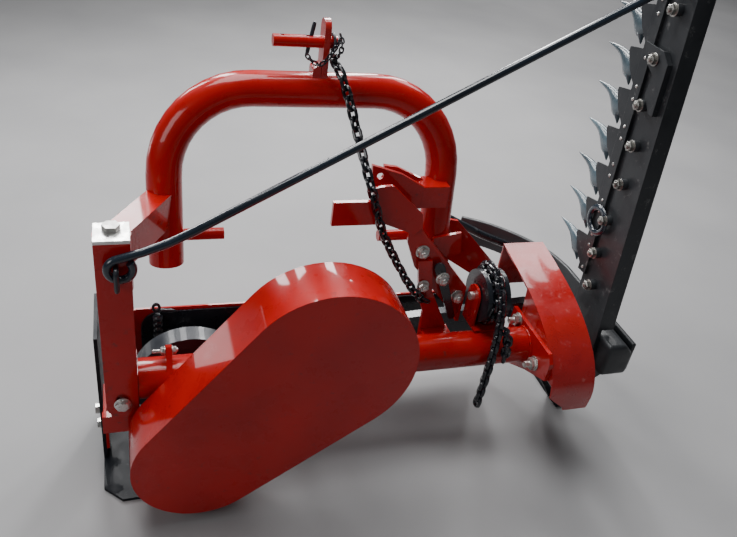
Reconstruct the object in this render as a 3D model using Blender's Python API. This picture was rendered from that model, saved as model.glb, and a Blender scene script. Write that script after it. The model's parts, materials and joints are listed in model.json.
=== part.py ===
"""Belt-driven sickle bar mower for a three-point linkage, parked with its bar folded up.

Metres, +Z up, +X to the cutter bar, +Y forward. The origin is on the ground, in the middle
of the left skid's sole.
"""
import bpy
import bmesh
from math import acos, asin, atan2, cos, degrees, hypot, pi, radians, sin, tan
from mathutils import Matrix, Vector

# Clearance between pieces that touch
GAP = 0.0003

# Left skid
SKID_THICK = 0.006
SKID_FLANGE_X = -0.041
SKID_SOLE_WIDTH = 0.082
SKID_SOLE_REAR = -0.138
SKID_SOLE_FRONT = 0.138
SKID_FLANGE_REAR = -0.040
SKID_FLANGE_FRONT = 0.085
SKID_FLANGE_HEIGHT = 0.283
SKID_CORNER_CUT = 0.030
SKID_BOLT_RADIUS = 0.005
SKID_BOLT_YZ = ((-0.023, 0.114), (-0.005, 0.060))

# Main cross tube
TUBE_RADIUS = 0.034
TUBE_WALL = 0.005
TUBE_Y = -0.069
TUBE_Z = 0.217
TUBE_LEFT_X = 0.025
TUBE_LENGTH = 0.710
TUBE_RIGHT_X = TUBE_LEFT_X + TUBE_LENGTH
TUBE_LUG_X = 0.069
TUBE_LUG_THICK = 0.010
TUBE_LUG_RISE = 0.031
TUBE_LUG_HALF = 0.023

# Upright post with the swing pivot
POST_WIDTH = 0.050
POST_DEPTH = 0.052
POST_WALL = 0.005
POST_REAR_Y = -0.1025
POST_CENTRE_X = -0.001
POST_BOTTOM_Z = 0.166
POST_TOP_Z = 0.500
PIVOT_BOLT_Z = 0.196
PIVOT_BOLT_RADIUS = 0.0095
PIVOT_SLOT_RISE = 0.011
CAP_THICK = 0.006
SWING_BOLT_HEAD = 0.008
LUG_THICK = 0.014
LUG_BOTTOM_Z = 0.127
SLEEVE_RADIUS = 0.027
SLEEVE_BORE = 0.0078
SLEEVE_HEIGHT = 0.095
SWING_BOLT_RADIUS = 0.007
SWING_CLEARANCE = 0.0006
STAPLE_WIRE = 0.004
STAPLE_X = 0.003
STAPLE_LOW_Z = 0.4335
STAPLE_HIGH_Z = 0.4685

# Hitch hoop
HOOP_RADIUS = 0.0285
HOOP_WALL = 0.0045
HOOP_LEFT_X = 0.080
HOOP_RIGHT_INSET = 0.177
HOOP_RIGHT_X = TUBE_RIGHT_X - HOOP_RIGHT_INSET
HOOP_FOOT_Y = 0.046
HOOP_LEFT_FOOT_Z = 0.369
HOOP_RIGHT_FOOT_Z = 0.400
HOOP_TOP_Z = 0.656
HOOP_LEAN = radians(9.65)
HOOP_BEND = 0.138
BRACE_WIDTH = 0.040
BRACE_HEIGHT = 0.058
BRACE_TOP_Z = 0.500

# Top link tab and the hitch pins
TAB_OFFSET = 0.0045
TAB_X = (HOOP_LEFT_X + HOOP_RIGHT_X) / 2 + TAB_OFFSET
TAB_THICK = 0.010
TAB_WIDTH = 0.030
TAB_RISE = 0.037
TAB_PIN_HEIGHT = 0.078
TOP_PIN_RADIUS = 0.0095
TOP_PIN_LENGTH = 0.102
TOP_PIN_TAIL = 0.0145
LINCHPIN_INSET = 0.0235
LINCHPIN_X = TAB_X - LINCHPIN_INSET
LINCHPIN_RADIUS = 0.0035
LOWER_PIN_RADIUS = 0.010
LEFT_PIN_Z = 0.416
LEFT_PIN_REACH = 0.066
RIGHT_PIN_Y = 0.050
RIGHT_PIN_Z = 0.4015
RIGHT_PIN_REACH = 0.080

# Link clevis on the right leg
CLEVIS_PLATE = 0.008
CLEVIS_REAR_Y = 0.021
CLEVIS_SPACE = 0.021
CLEVIS_REACH = 0.148
CLEVIS_TIP_X = HOOP_RIGHT_X - CLEVIS_REACH
CLEVIS_TOP_Z = 0.557
CLEVIS_HOLE_RADIUS = 0.006

# Belt drive
CRANK_X = 0.115
CRANK_Z = 0.130
PTO_X = 0.311
PTO_Z = 0.314
GUARD_REAR_Y = -0.200
GUARD_DEPTH = 0.087
GUARD_SMALL_RADIUS = 0.110
GUARD_LARGE_RADIUS = 0.145
GUARD_WALL = 0.003
BACK_PLATE_THICK = 0.003
PULLEY_WIDTH = 0.046
PULLEY_START = 0.022
SMALL_PULLEY_RADIUS = 0.060
LARGE_PULLEY_RADIUS = 0.118
GROOVE_DEPTH = 0.013
GROOVE_PITCH = 0.019
BELT_WIDTH = 0.013
BELT_HEIGHT = 0.009
CRANK_SHAFT_RADIUS = 0.015
PTO_SHAFT_RADIUS = 0.0175
PTO_STUB_LENGTH = 0.060
SPLINE_COUNT = 6
SPLINE_DEPTH = 0.0028
HOUSING_WALL = 0.007
BEARING_THICK = 0.016
BEARING_OUTER_GROWTH = 0.016
HOUSING_FRONT_Y = -0.004
FLYWHEEL_RADIUS = 0.100
FLYWHEEL_REAR_Y = 0.005
FLYWHEEL_THICK = 0.036
FLYWHEEL_RIM = 0.022
FLYWHEEL_WEB = 0.014
CRANK_THROW = 0.038
CRANK_PIN_RADIUS = 0.010
PITMAN_THICK = 0.020
PITMAN_START_Y = 0.046
PITMAN_EYE_RADIUS = 0.026
PITMAN_REACH = 0.065
PITMAN_END_X = TUBE_RIGHT_X + PITMAN_REACH
PITMAN_END_Z = 0.212
PITMAN_HEIGHT = 0.022
PITMAN_BUSH_CLEARANCE = 0.0006

# Pitman shield
SHIELD_Y = 0.096
SHIELD_THICK = 0.004
SHIELD_LEFT_X = 0.034
SHIELD_TOP_Z = 0.224
SHIELD_BOTTOM_Z = 0.060
SHIELD_CORNER = 0.035
SHIELD_STRAP_WIDTH = 0.024
SHIELD_STRAP_X = 0.270
SHIELD_ARM_LOW_Z = 0.226
SHIELD_ARM_TOP_Z = 0.250

# Latch side
ARM_REAR_Y = -0.010
ARM_WALL = 0.006
ARM_DEPTH = 0.025
ARM_TOP_INSET = 0.251
ARM_TOP_X = TUBE_RIGHT_X - ARM_TOP_INSET
ARM_TOP_Z = 0.4335
ARM_END_INSET = 0.116
ARM_END_X = TUBE_RIGHT_X - ARM_END_INSET
ARM_END_Z = 0.277
ARM_HEIGHT = 0.080
REST_BAR_INSET = 0.394
REST_BAR_X = TUBE_RIGHT_X - REST_BAR_INSET
REST_BAR_Z = 0.463
REST_BAR_HEIGHT = 0.044
FOOT_INSET = 0.195
FOOT_WIDTH = 0.056
FOOT_LEFT_X = TUBE_RIGHT_X - FOOT_INSET
FOOT_RIGHT_X = FOOT_LEFT_X + FOOT_WIDTH
FOOT_TOP_Z = 0.385
FOOT_THICK = 0.008
LEVER_INSET = 0.020
LEVER_X = FOOT_LEFT_X + LEVER_INSET
LEVER_Z = 0.349
LEVER_TOP = 0.024
LEVER_LENGTH = 0.098
LEVER_WIDTH = 0.020
LEVER_THICK = 0.005
LEVER_PIN_RADIUS = 0.006

# Chain sheave
SHEAVE_INSET = 0.102
SHEAVE_LEFT_X = TUBE_RIGHT_X - SHEAVE_INSET
SHEAVE_WIDTH = 0.045
SHEAVE_RADIUS = 0.050
SHEAVE_GROOVE = 0.0038
SHEAVE_Y = -0.030
SHEAVE_Z = 0.312
SHEAVE_BORE_CLEARANCE = 0.0006
SHEAVE_BOLT_RADIUS = 0.008
CHEEK_THICK = 0.005
GUARD_STAY_RADIUS = 0.0078
CHEEK_GAP = 0.002
CHEEK_WIDTH = 0.044

# Right end of the frame
END_PLATE_THICK = 0.008
END_PLATE_REAR = -0.166
END_PLATE_FRONT = -0.008
END_PLATE_TOP = 0.262
END_PLATE_LOW_FRONT = 0.125
END_PLATE_LOW_REAR = 0.208
RIGHT_GUARD_WIDTH = 0.090
RIGHT_GUARD_WALL = 0.004
RIGHT_GUARD_NOSE_Z = 0.240
HINGE_REACH = 0.125
HINGE_X = TUBE_RIGHT_X + HINGE_REACH
HINGE_Z = 0.100
HINGE_RADIUS = 0.026
HINGE_PIN_RADIUS = 0.010
HINGE_CLEARANCE = 0.0008
YOKE_EAR_THICK = 0.012
YOKE_REAR_Y = -0.105
YOKE_FRONT_Y = -0.020
INNER_SKID_THICK = 0.008
INNER_SKID_REACH = 0.028
INNER_SKID_LEFT_X = HINGE_X + INNER_SKID_REACH
INNER_SKID_WIDTH = 0.028
INNER_SKID_REAR = -0.045
INNER_SKID_FRONT = 0.120
SKID_LEG_THICK = 0.012

# Cutter bar, folded up
BAR_REACH = 0.0176
BAR_X = HINGE_X + BAR_REACH
BAR_THICK = 0.008
BAR_LEAD = radians(3.5)
BOLT_Y = -0.024
BAR_REAR_LOW_Y = -0.107
BAR_REAR_HIGH_Y = -0.062
BAR_FRONT_Y = BOLT_Y + 0.014
BAR_FLANGE = 0.026
BAR_BOTTOM_Z = 0.180
FLANGE_BOTTOM_Z = 0.250
FINGER_PITCH = 0.0725
FINGER_COUNT = 16
FINGERS_PER_CASTING = 4
FIRST_FINGER_Z = 0.366
FINGER_LENGTH = 0.132
FINGER_THICK = 0.018
FINGER_WING_THICK = 0.010
BAR_END_MARGIN = 0.030
FINGER_SHAPE = (
    (0.0, -0.016), (0.0300, -0.012), (0.0385, -0.0155), (0.0430, -0.0260), (0.0435, -0.0350),
    (0.0525, -0.0290), (0.0634, -0.0275), (0.0677, -0.0191), (0.0730, -0.0100), (0.0839, 0.0014),
    (0.1058, 0.0088), (0.1315, 0.0155), (0.1320, 0.0175), (0.1037, 0.0208), (0.0766, 0.0221),
    (0.0509, 0.0208), (0.0300, 0.0160), (0.0, 0.0140),
)
KNIFE_BACK_WIDTH = 0.024
KNIFE_BACK_THICK = 0.006
KNIFE_BACK_Y = BOLT_Y + 0.014
SECTION_THICK = 0.003
SECTION_SHAPE = ((0.0085, -0.0335), (0.0355, -0.0060), (0.0513, 0.0218), (0.0500, 0.0300), (0.0080, 0.0360))
KNIFE_STROKE = FINGER_PITCH
CLIP_LENGTH = 0.040
SHOE_THICK = 0.010
SHOE_LOW_Z = 0.170
SHOE_HIGH_Z = 0.236
CASTING_REACH = 0.097
CASTING_RIGHT_X = HINGE_X + CASTING_REACH
SHOE_REAR_Y = -0.122
CASTING_REAR_Y = -0.134
CASTING_FRONT_Y = -0.004
OUTER_SHOE_THICK = 0.010

# Stay rod and chains
ROD_RADIUS = 0.0065
ROD_EYE_RADIUS = 0.0175
ROD_EYE_X = 0.0085
ROD_EYE_Z = 0.466
CHAIN_RADIUS = 0.009
ROD_END_Y = 0.004
ROD_END_Z = 0.884

# Colours as red, green, blue, roughness, metallic
PAINTS = {
    "red": (0.55, 0.015, 0.010, 0.25, 0.0),
    "black": (0.012, 0.014, 0.018, 0.30, 0.0),
    "zinc": (0.62, 0.60, 0.55, 0.35, 1.0),
    "steel": (0.32, 0.31, 0.30, 0.45, 1.0),
    "fang": (0.18, 0.24, 0.27, 0.40, 0.6),
    "rubber": (0.02, 0.02, 0.02, 0.80, 0.0),
}

# Places worked out from the sizes
END_PLATE_X = TUBE_RIGHT_X + GAP
END_PLATE_RIGHT_X = END_PLATE_X + END_PLATE_THICK
GUARD_FRONT_Y = GUARD_REAR_Y + GUARD_DEPTH
BACK_PLATE_Y = GUARD_FRONT_Y + GAP
BACK_PLATE_FRONT_Y = BACK_PLATE_Y + BACK_PLATE_THICK
POST_LEFT_X = POST_CENTRE_X - POST_WIDTH / 2
POST_RIGHT_X = POST_CENTRE_X + POST_WIDTH / 2
SLEEVE_Y = POST_REAR_Y + POST_WALL + SLEEVE_RADIUS + GAP
SLEEVE_TOP_Z = POST_TOP_Z - SWING_CLEARANCE
SLEEVE_BOTTOM_Z = SLEEVE_TOP_Z - SLEEVE_HEIGHT
HOOP_TOP_RISE = HOOP_TOP_Z - HOOP_LEFT_FOOT_Z
HOOP_TOP_Y = HOOP_FOOT_Y + HOOP_TOP_RISE * tan(HOOP_LEAN)
PULLEY_REAR_Y = GUARD_REAR_Y + PULLEY_START
PULLEY_FRONT_Y = PULLEY_REAR_Y + PULLEY_WIDTH
HOUSING_REAR_Y = BACK_PLATE_FRONT_Y + GAP
KNIFE_X = BAR_X - KNIFE_BACK_THICK - GAP
BAR_TOP_Z = FIRST_FINGER_Z + (FINGER_COUNT - 0.5) * FINGER_PITCH + BAR_END_MARGIN


def clear_scene():
    for item in list(bpy.data.objects):
        bpy.data.objects.remove(item, do_unlink=True)


def make_material(name):
    red, green, blue, rough, metal = PAINTS[name]
    material = bpy.data.materials.new(name)
    material.use_nodes = True
    shader = material.node_tree.nodes["Principled BSDF"]
    shader.inputs["Base Color"].default_value = (red, green, blue, 1.0)
    shader.inputs["Roughness"].default_value = rough
    shader.inputs["Metallic"].default_value = metal
    material.diffuse_color = (red, green, blue, 1.0)
    return material


MATERIALS = {}
BODIES = {}


def make_body(name, place):
    """An empty on the joint's axis that carries one moving body."""
    empty = bpy.data.objects.new(name + "_body", None)
    empty.location = place
    bpy.context.collection.objects.link(empty)
    BODIES[name] = empty


def finish(name, mesh, paint, body, smooth=True):
    """Turn a finished bmesh into a named object carried by its body."""
    bmesh.ops.remove_doubles(mesh, verts=mesh.verts, dist=1e-6)
    bmesh.ops.recalc_face_normals(mesh, faces=mesh.faces)
    data = bpy.data.meshes.new(name)
    mesh.to_mesh(data)
    mesh.free()
    if smooth:
        data.shade_smooth()
        data.set_sharp_from_angle(angle=radians(35))
    item = bpy.data.objects.new(name, data)
    bpy.context.collection.objects.link(item)
    if paint:
        data.materials.append(MATERIALS[paint])
    if body:
        item.parent = BODIES[body]
        item.matrix_parent_inverse = Matrix.Translation(-BODIES[body].location)
    return item


def hide_tool(item):
    item.hide_render = True
    item.display_type = "WIRE"


def boolean(item, tool, operation):
    hide_tool(tool)
    step = item.modifiers.new(operation.lower(), "BOOLEAN")
    step.operation = operation
    step.solver = "EXACT"
    step.object = tool


def to_space(axis, first, second, along):
    """A point from its two plane values and its place along an axis."""
    if axis == "X":
        return (along, first, second)
    if axis == "Y":
        return (first, along, second)
    return (first, second, along)


def plate_mesh(outline, axis, low, high):
    mesh = bmesh.new()
    start = [mesh.verts.new(to_space(axis, a, b, low)) for a, b in outline]
    end = [mesh.verts.new(to_space(axis, a, b, high)) for a, b in outline]
    mesh.faces.new(start)
    mesh.faces.new(end)
    for i in range(len(outline)):
        j = (i + 1) % len(outline)
        mesh.faces.new((start[i], start[j], end[j], end[i]))
    return mesh


def plate(name, outline, axis, low, high, paint=None, body=None):
    return finish(name, plate_mesh(outline, axis, low, high), paint, body, smooth=True)


def rectangle(a0, b0, a1, b1):
    return [(a0, b0), (a1, b0), (a1, b1), (a0, b1)]


def box(name, low, high, paint=None, body=None):
    outline = rectangle(low[0], low[1], high[0], high[1])
    return finish(name, plate_mesh(outline, "Z", low[2], high[2]), paint, body, smooth=False)


def arc(centre, radius, start, end, steps):
    """Points on an arc, from and to angles in degrees."""
    points = []
    for i in range(steps + 1):
        angle = radians(start + (end - start) * i / steps)
        points.append((centre[0] + radius * cos(angle), centre[1] + radius * sin(angle)))
    return points


def circle(centre, radius, steps):
    return arc(centre, radius, 0, 360 * (steps - 1) / steps, steps - 1)


def drill(item, axis, centre, radius, low, high, steps=24):
    tool = plate("tool", circle(centre, radius, steps), axis, low, high)
    boolean(item, tool, "DIFFERENCE")


def turned_mesh(profile, axis, centre, steps):
    """Turn a closed profile of radius and place along the axis about a centre."""
    mesh = bmesh.new()
    rings = []
    for radius, along in profile:
        if radius < 1e-9:
            rings.append([mesh.verts.new(to_space(axis, centre[0], centre[1], along))])
            continue
        ring = []
        for i in range(steps):
            angle = 2 * pi * i / steps
            first = centre[0] + radius * cos(angle)
            second = centre[1] + radius * sin(angle)
            ring.append(mesh.verts.new(to_space(axis, first, second, along)))
        rings.append(ring)
    for k in range(len(rings)):
        one = rings[k]
        two = rings[(k + 1) % len(rings)]
        if len(one) == 1 and len(two) == 1:
            continue
        for i in range(steps):
            j = (i + 1) % steps
            corners = [one[i % len(one)], one[j % len(one)], two[j % len(two)], two[i % len(two)]]
            corners = list(dict.fromkeys(corners))
            mesh.faces.new(corners)
    return mesh


def turned(name, profile, axis, centre, paint=None, body=None, steps=32):
    return finish(name, turned_mesh(profile, axis, centre, steps), paint, body)


def ring_profile(inner, outer, low, high):
    return [(inner, low), (outer, low), (outer, high), (inner, high)]


def solid_profile(steps):
    """A closed profile from the axis out and back, from pairs of radius and place."""
    return [(0.0, steps[0][1])] + list(steps) + [(0.0, steps[-1][1])]


def sweep_mesh(points, outer, inner=0.0, steps=16):
    """A round tube or rod along points, its frame carried along without twist."""
    mesh = bmesh.new()
    path = [Vector(p) for p in points]
    count = len(path)
    tangents = []
    for i in range(count):
        before = path[max(i - 1, 0)]
        after = path[min(i + 1, count - 1)]
        tangents.append((after - before).normalized())
    side = tangents[0].orthogonal().normalized()
    outer_rings = []
    inner_rings = []
    for i in range(count):
        side = (side - tangents[i] * side.dot(tangents[i])).normalized()
        other = tangents[i].cross(side)
        for rings, radius in ((outer_rings, outer), (inner_rings, inner)):
            if radius <= 0:
                continue
            ring = []
            for k in range(steps):
                angle = 2 * pi * k / steps
                ring.append(mesh.verts.new(path[i] + radius * (cos(angle) * side + sin(angle) * other)))
            rings.append(ring)
    for rings in (outer_rings, inner_rings):
        for i in range(len(rings) - 1):
            for k in range(steps):
                j = (k + 1) % steps
                mesh.faces.new((rings[i][k], rings[i][j], rings[i + 1][j], rings[i + 1][k]))
    for end in (0, -1):
        if not inner_rings:
            mesh.faces.new(outer_rings[end])
            continue
        for k in range(steps):
            j = (k + 1) % steps
            corners = (outer_rings[end][k], outer_rings[end][j], inner_rings[end][j], inner_rings[end][k])
            mesh.faces.new(corners)
    return mesh


def ring_mesh(points, radius, steps):
    """A closed round ring through points that lie in one upright plane facing Y."""
    mesh = bmesh.new()
    centre = sum((Vector(p) for p in points), Vector()) / len(points)
    rings = []
    for place in points:
        place = Vector(place)
        out = (place - centre).normalized()
        ring = []
        for k in range(steps):
            angle = 2 * pi * k / steps
            ring.append(mesh.verts.new(place + radius * (cos(angle) * out + sin(angle) * Vector((0, 1, 0)))))
        rings.append(ring)
    for i in range(len(rings)):
        one = rings[i]
        two = rings[(i + 1) % len(rings)]
        for k in range(steps):
            j = (k + 1) % steps
            mesh.faces.new((one[k], one[j], two[j], two[k]))
    return mesh


def sweep(name, points, outer, paint=None, body=None, inner=0.0, steps=16):
    return finish(name, sweep_mesh(points, outer, inner, steps), paint, body)


def smooth_points(points, per_span):
    """Points on a smooth curve through the given points, in two or three dimensions."""
    result = []
    count = len(points)
    for i in range(count - 1):
        p0 = Vector(points[max(i - 1, 0)])
        p1 = Vector(points[i])
        p2 = Vector(points[i + 1])
        p3 = Vector(points[min(i + 2, count - 1)])
        for k in range(per_span):
            t = k / per_span
            a = 2 * p1
            b = (p2 - p0) * t
            c = (2 * p0 - 5 * p1 + 4 * p2 - p3) * t * t
            d = (3 * p1 - 3 * p2 + p3 - p0) * t * t * t
            result.append(tuple((a + b + c + d) * 0.5))
    result.append(tuple(points[-1]))
    return result


def thick_outline(line, thick):
    """A closed outline of one thickness on the left of an open line in a plane."""
    near = []
    far = []
    for i in range(len(line)):
        before = line[max(i - 1, 0)]
        after = line[min(i + 1, len(line) - 1)]
        dx = after[0] - before[0]
        dy = after[1] - before[1]
        length = hypot(dx, dy)
        near.append(tuple(line[i]))
        far.append((line[i][0] - dy / length * thick, line[i][1] + dx / length * thick))
    return near + far[::-1]


def hex_bolt(name, axis, centre, shank, shank_start, head_start, head_end, paint, body):
    """A bolt whose shank is round and whose head is a hexagon."""
    item = turned(name, solid_profile([(shank, shank_start), (shank, head_start)]), axis, centre,
                  paint, body, steps=20)
    head = plate("tool", circle(centre, shank * 1.85, 6), axis, head_start, head_end)
    boolean(item, head, "UNION")
    return item


def capsule(first, first_radius, second, second_radius, steps):
    """The outline of two discs of unlike radius and the lines that touch both."""
    dx = second[0] - first[0]
    dy = second[1] - first[1]
    turn = degrees(atan2(dy, dx))
    spread = degrees(acos((first_radius - second_radius) / hypot(dx, dy)))
    outline = arc(first, first_radius, turn + spread, turn + 360 - spread, steps)
    outline += arc(second, second_radius, turn - spread, turn + spread, steps)
    return outline


def make_left_skid():
    front = SKID_SOLE_FRONT
    rear = SKID_SOLE_REAR
    left = SKID_FLANGE_X
    right = left + SKID_SOLE_WIDTH
    sole = [(left, rear + SKID_CORNER_CUT), (left + SKID_CORNER_CUT, rear), (right, rear), (right, front),
            (left, front)]
    item = plate("left_skid", sole, "Z", 0.0, SKID_THICK, "black", "frame")
    flange = box("tool", (left, SKID_FLANGE_REAR, 0.0),
                 (left + SKID_THICK, SKID_FLANGE_FRONT, SKID_FLANGE_HEIGHT))
    boolean(item, flange, "UNION")
    for number, (bolt_y, bolt_z) in enumerate(SKID_BOLT_YZ, start=1):
        drill(item, "X", (bolt_y, bolt_z), SKID_BOLT_RADIUS + GAP, left - 0.01, left + SKID_THICK + 0.01)
        inner_end = left + SKID_THICK + GAP + POST_WALL
        hex_bolt("skid_bolt_%d" % number, "X", (bolt_y, bolt_z), SKID_BOLT_RADIUS,
                 inner_end, left - GAP, left - 0.008, "zinc", "frame")


def make_main_tube():
    profile = ring_profile(TUBE_RADIUS - TUBE_WALL, TUBE_RADIUS, TUBE_LEFT_X, TUBE_RIGHT_X)
    item = turned("main_tube", profile, "X", (TUBE_Y, TUBE_Z), "red", "frame", steps=48)
    foot = TUBE_Z + TUBE_RADIUS - TUBE_WALL / 2
    tip = TUBE_Z + TUBE_RADIUS + TUBE_LUG_RISE
    lug = [(TUBE_Y - TUBE_LUG_HALF, foot - 0.010), (TUBE_Y + TUBE_LUG_HALF, foot - 0.010),
           (TUBE_Y + 0.008, tip - 0.004), (TUBE_Y + 0.003, tip), (TUBE_Y - 0.003, tip),
           (TUBE_Y - 0.008, tip - 0.004)]
    ear = plate("tool", lug, "X", TUBE_LUG_X, TUBE_LUG_X + TUBE_LUG_THICK)
    inside = plate("tool", circle((TUBE_Y, TUBE_Z), TUBE_RADIUS - TUBE_WALL / 2, 48), "X",
                   TUBE_LUG_X - 0.01, TUBE_LUG_X + TUBE_LUG_THICK + 0.01)
    boolean(ear, inside, "DIFFERENCE")
    boolean(item, ear, "UNION")


def make_frame_bracket():
    """Carries the skid and the post at the left end of the tube."""
    flange_left = SKID_FLANGE_X + SKID_THICK + GAP
    rear = POST_REAR_Y + POST_WALL + GAP
    right = TUBE_LEFT_X - GAP
    lug = rectangle(flange_left, LUG_BOTTOM_Z, right, POST_BOTTOM_Z - 0.002)
    item = plate("frame_bracket", lug, "Y", rear, rear + LUG_THICK, "red", "frame")
    tongue = box("tool", (POST_LEFT_X + POST_WALL + 0.001, rear, LUG_BOTTOM_Z),
                 (right, rear + LUG_THICK, TUBE_Z + TUBE_RADIUS))
    boolean(item, tongue, "UNION")
    side = [(rear, LUG_BOTTOM_Z), (SKID_FLANGE_REAR, LUG_BOTTOM_Z), (SKID_FLANGE_REAR, 0.030), (0.010, 0.030),
            (0.010, 0.140), (rear, 0.140)]
    flange = plate("tool", side, "X", flange_left, flange_left + POST_WALL)
    boolean(item, flange, "UNION")
    step = box("tool", (POST_RIGHT_X + GAP, rear, LUG_BOTTOM_Z),
               (right, TUBE_Y + TUBE_RADIUS, TUBE_Z + TUBE_RADIUS))
    boolean(item, step, "UNION")
    drill(item, "Y", (POST_CENTRE_X, PIVOT_BOLT_Z), PIVOT_BOLT_RADIUS + GAP, rear - 0.01, rear + 0.03)
    for bolt_y, bolt_z in SKID_BOLT_YZ:
        drill(item, "X", (bolt_y, bolt_z), SKID_BOLT_RADIUS + GAP, flange_left - 0.01, flange_left + 0.02)
    hex_bolt("pivot_bolt", "Y", (POST_CENTRE_X, PIVOT_BOLT_Z), PIVOT_BOLT_RADIUS,
             rear + LUG_THICK + 0.010, POST_REAR_Y - GAP, POST_REAR_Y - 0.0095, "zinc", "frame")


def make_post():
    """An upright channel: a wide web behind, side walls below the sleeve, a shelf under it."""
    radius = POST_WIDTH / 2
    web = [(POST_LEFT_X, POST_TOP_Z), (POST_LEFT_X, POST_BOTTOM_Z + radius)]
    web += arc((POST_CENTRE_X, POST_BOTTOM_Z + radius), radius, 190, 350, 10)
    web += [(POST_RIGHT_X, POST_BOTTOM_Z + radius), (POST_RIGHT_X, POST_TOP_Z)]
    item = plate("post", web, "Y", POST_REAR_Y, POST_REAR_Y + POST_WALL, "red", "frame")
    wall_top = SLEEVE_BOTTOM_Z - SWING_CLEARANCE
    wall_bottom = TUBE_Z + TUBE_RADIUS + 0.006
    for low_x in (POST_LEFT_X, POST_RIGHT_X - POST_WALL):
        wall = box("tool", (low_x, POST_REAR_Y, wall_bottom), (low_x + POST_WALL,
                   POST_REAR_Y + POST_DEPTH, wall_top))
        boolean(item, wall, "UNION")
    shelf = box("tool", (POST_LEFT_X, POST_REAR_Y, wall_top - POST_WALL),
                (POST_RIGHT_X, POST_REAR_Y + POST_DEPTH + 0.002, wall_top))
    boolean(item, shelf, "UNION")
    drill(item, "Z", (POST_CENTRE_X, SLEEVE_Y), SWING_BOLT_RADIUS + GAP, wall_top - 0.02, wall_top + 0.01)
    drill(item, "Y", (POST_CENTRE_X, PIVOT_BOLT_Z), PIVOT_BOLT_RADIUS + GAP,
          POST_REAR_Y - 0.01, POST_REAR_Y + 0.02)
    drill(item, "Y", (POST_CENTRE_X, PIVOT_BOLT_Z + PIVOT_SLOT_RISE), PIVOT_BOLT_RADIUS + GAP / 2,
          POST_REAR_Y - 0.01, POST_REAR_Y + 0.02)
    cap_low = POST_TOP_Z + GAP
    cap = box("post_cap", (POST_LEFT_X, POST_REAR_Y + 0.001, cap_low),
              (POST_RIGHT_X, POST_REAR_Y + POST_DEPTH, cap_low + CAP_THICK), "zinc", "frame")
    drill(cap, "Z", (POST_CENTRE_X, SLEEVE_Y), SWING_BOLT_RADIUS + GAP, cap_low - 0.01, cap_low + 0.02)
    head_low = cap_low + CAP_THICK + GAP
    hex_bolt("breakaway_bolt", "Z", (POST_CENTRE_X, SLEEVE_Y), SWING_BOLT_RADIUS,
             wall_top - POST_WALL - 0.012, head_low, head_low + SWING_BOLT_HEAD, "zinc", "frame")


def rod_eye_y():
    return POST_REAR_Y - ROD_RADIUS - 0.0045


def staple_points():
    """A bow that stands out of the post's web and passes through the rod's eye."""
    rear = POST_REAR_Y - GAP
    out = rod_eye_y() - ROD_RADIUS - STAPLE_WIRE - 2 * GAP
    bend = 0.006
    line = [(rear, STAPLE_LOW_Z)]
    line += arc((out + bend, STAPLE_LOW_Z + bend), bend, 270, 180, 4)
    line += arc((out + bend, STAPLE_HIGH_Z - bend), bend, 180, 90, 4)
    line += [(rear, STAPLE_HIGH_Z)]
    return [(STAPLE_X, y, z) for y, z in line]


def make_staple():
    sweep("stay_staple", staple_points(), STAPLE_WIRE, "black", "frame", steps=10)


def hoop_point(along_x, height):
    """A point of the leaning hoop's plane."""
    return (along_x, HOOP_FOOT_Y + (height - HOOP_LEFT_FOOT_Z) * tan(HOOP_LEAN), height)


def hoop_line():
    line = [(HOOP_LEFT_X, HOOP_LEFT_FOOT_Z), (HOOP_LEFT_X, HOOP_TOP_Z - HOOP_BEND)]
    line += arc((HOOP_LEFT_X + HOOP_BEND, HOOP_TOP_Z - HOOP_BEND), HOOP_BEND, 170, 90, 9)
    line += arc((HOOP_RIGHT_X - HOOP_BEND, HOOP_TOP_Z - HOOP_BEND), HOOP_BEND, 90, 10, 9)
    line += [(HOOP_RIGHT_X, HOOP_TOP_Z - HOOP_BEND), (HOOP_RIGHT_X, HOOP_RIGHT_FOOT_Z)]
    return line


def leg_y(height):
    return hoop_point(0.0, height)[1]


def make_hoop():
    points = [hoop_point(x, z) for x, z in hoop_line()]
    sweep("hoop", points, HOOP_RADIUS, "red", "hitch", inner=HOOP_RADIUS - HOOP_WALL, steps=32)


def make_hitch_brace():
    """The swing sleeve and the square brace from it to the hoop's left leg."""
    profile = ring_profile(SLEEVE_BORE, SLEEVE_RADIUS, SLEEVE_BOTTOM_Z, SLEEVE_TOP_Z)
    item = turned("hitch_brace", profile, "Z", (POST_CENTRE_X, SLEEVE_Y), "red", "hitch", steps=28)
    low = BRACE_TOP_Z - BRACE_HEIGHT
    end_y = leg_y(low + BRACE_HEIGHT / 2)
    dx = HOOP_LEFT_X - POST_CENTRE_X
    dy = end_y - SLEEVE_Y
    reach = hypot(dx, dy)
    ux = dx / reach
    uy = dy / reach
    half = BRACE_WIDTH / 2
    near = (SLEEVE_BORE + SLEEVE_RADIUS) / 2
    outline = []
    for along, across in ((near, -half), (reach, -half), (reach, half), (near, half)):
        x = POST_CENTRE_X + ux * along - uy * across
        y = SLEEVE_Y + uy * along + ux * across
        outline.append((x, y))
    brace = plate("tool", outline, "Z", low, BRACE_TOP_Z - 0.001)
    boolean(item, brace, "UNION")
    boolean(item, hoop_cutter(), "DIFFERENCE")


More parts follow.
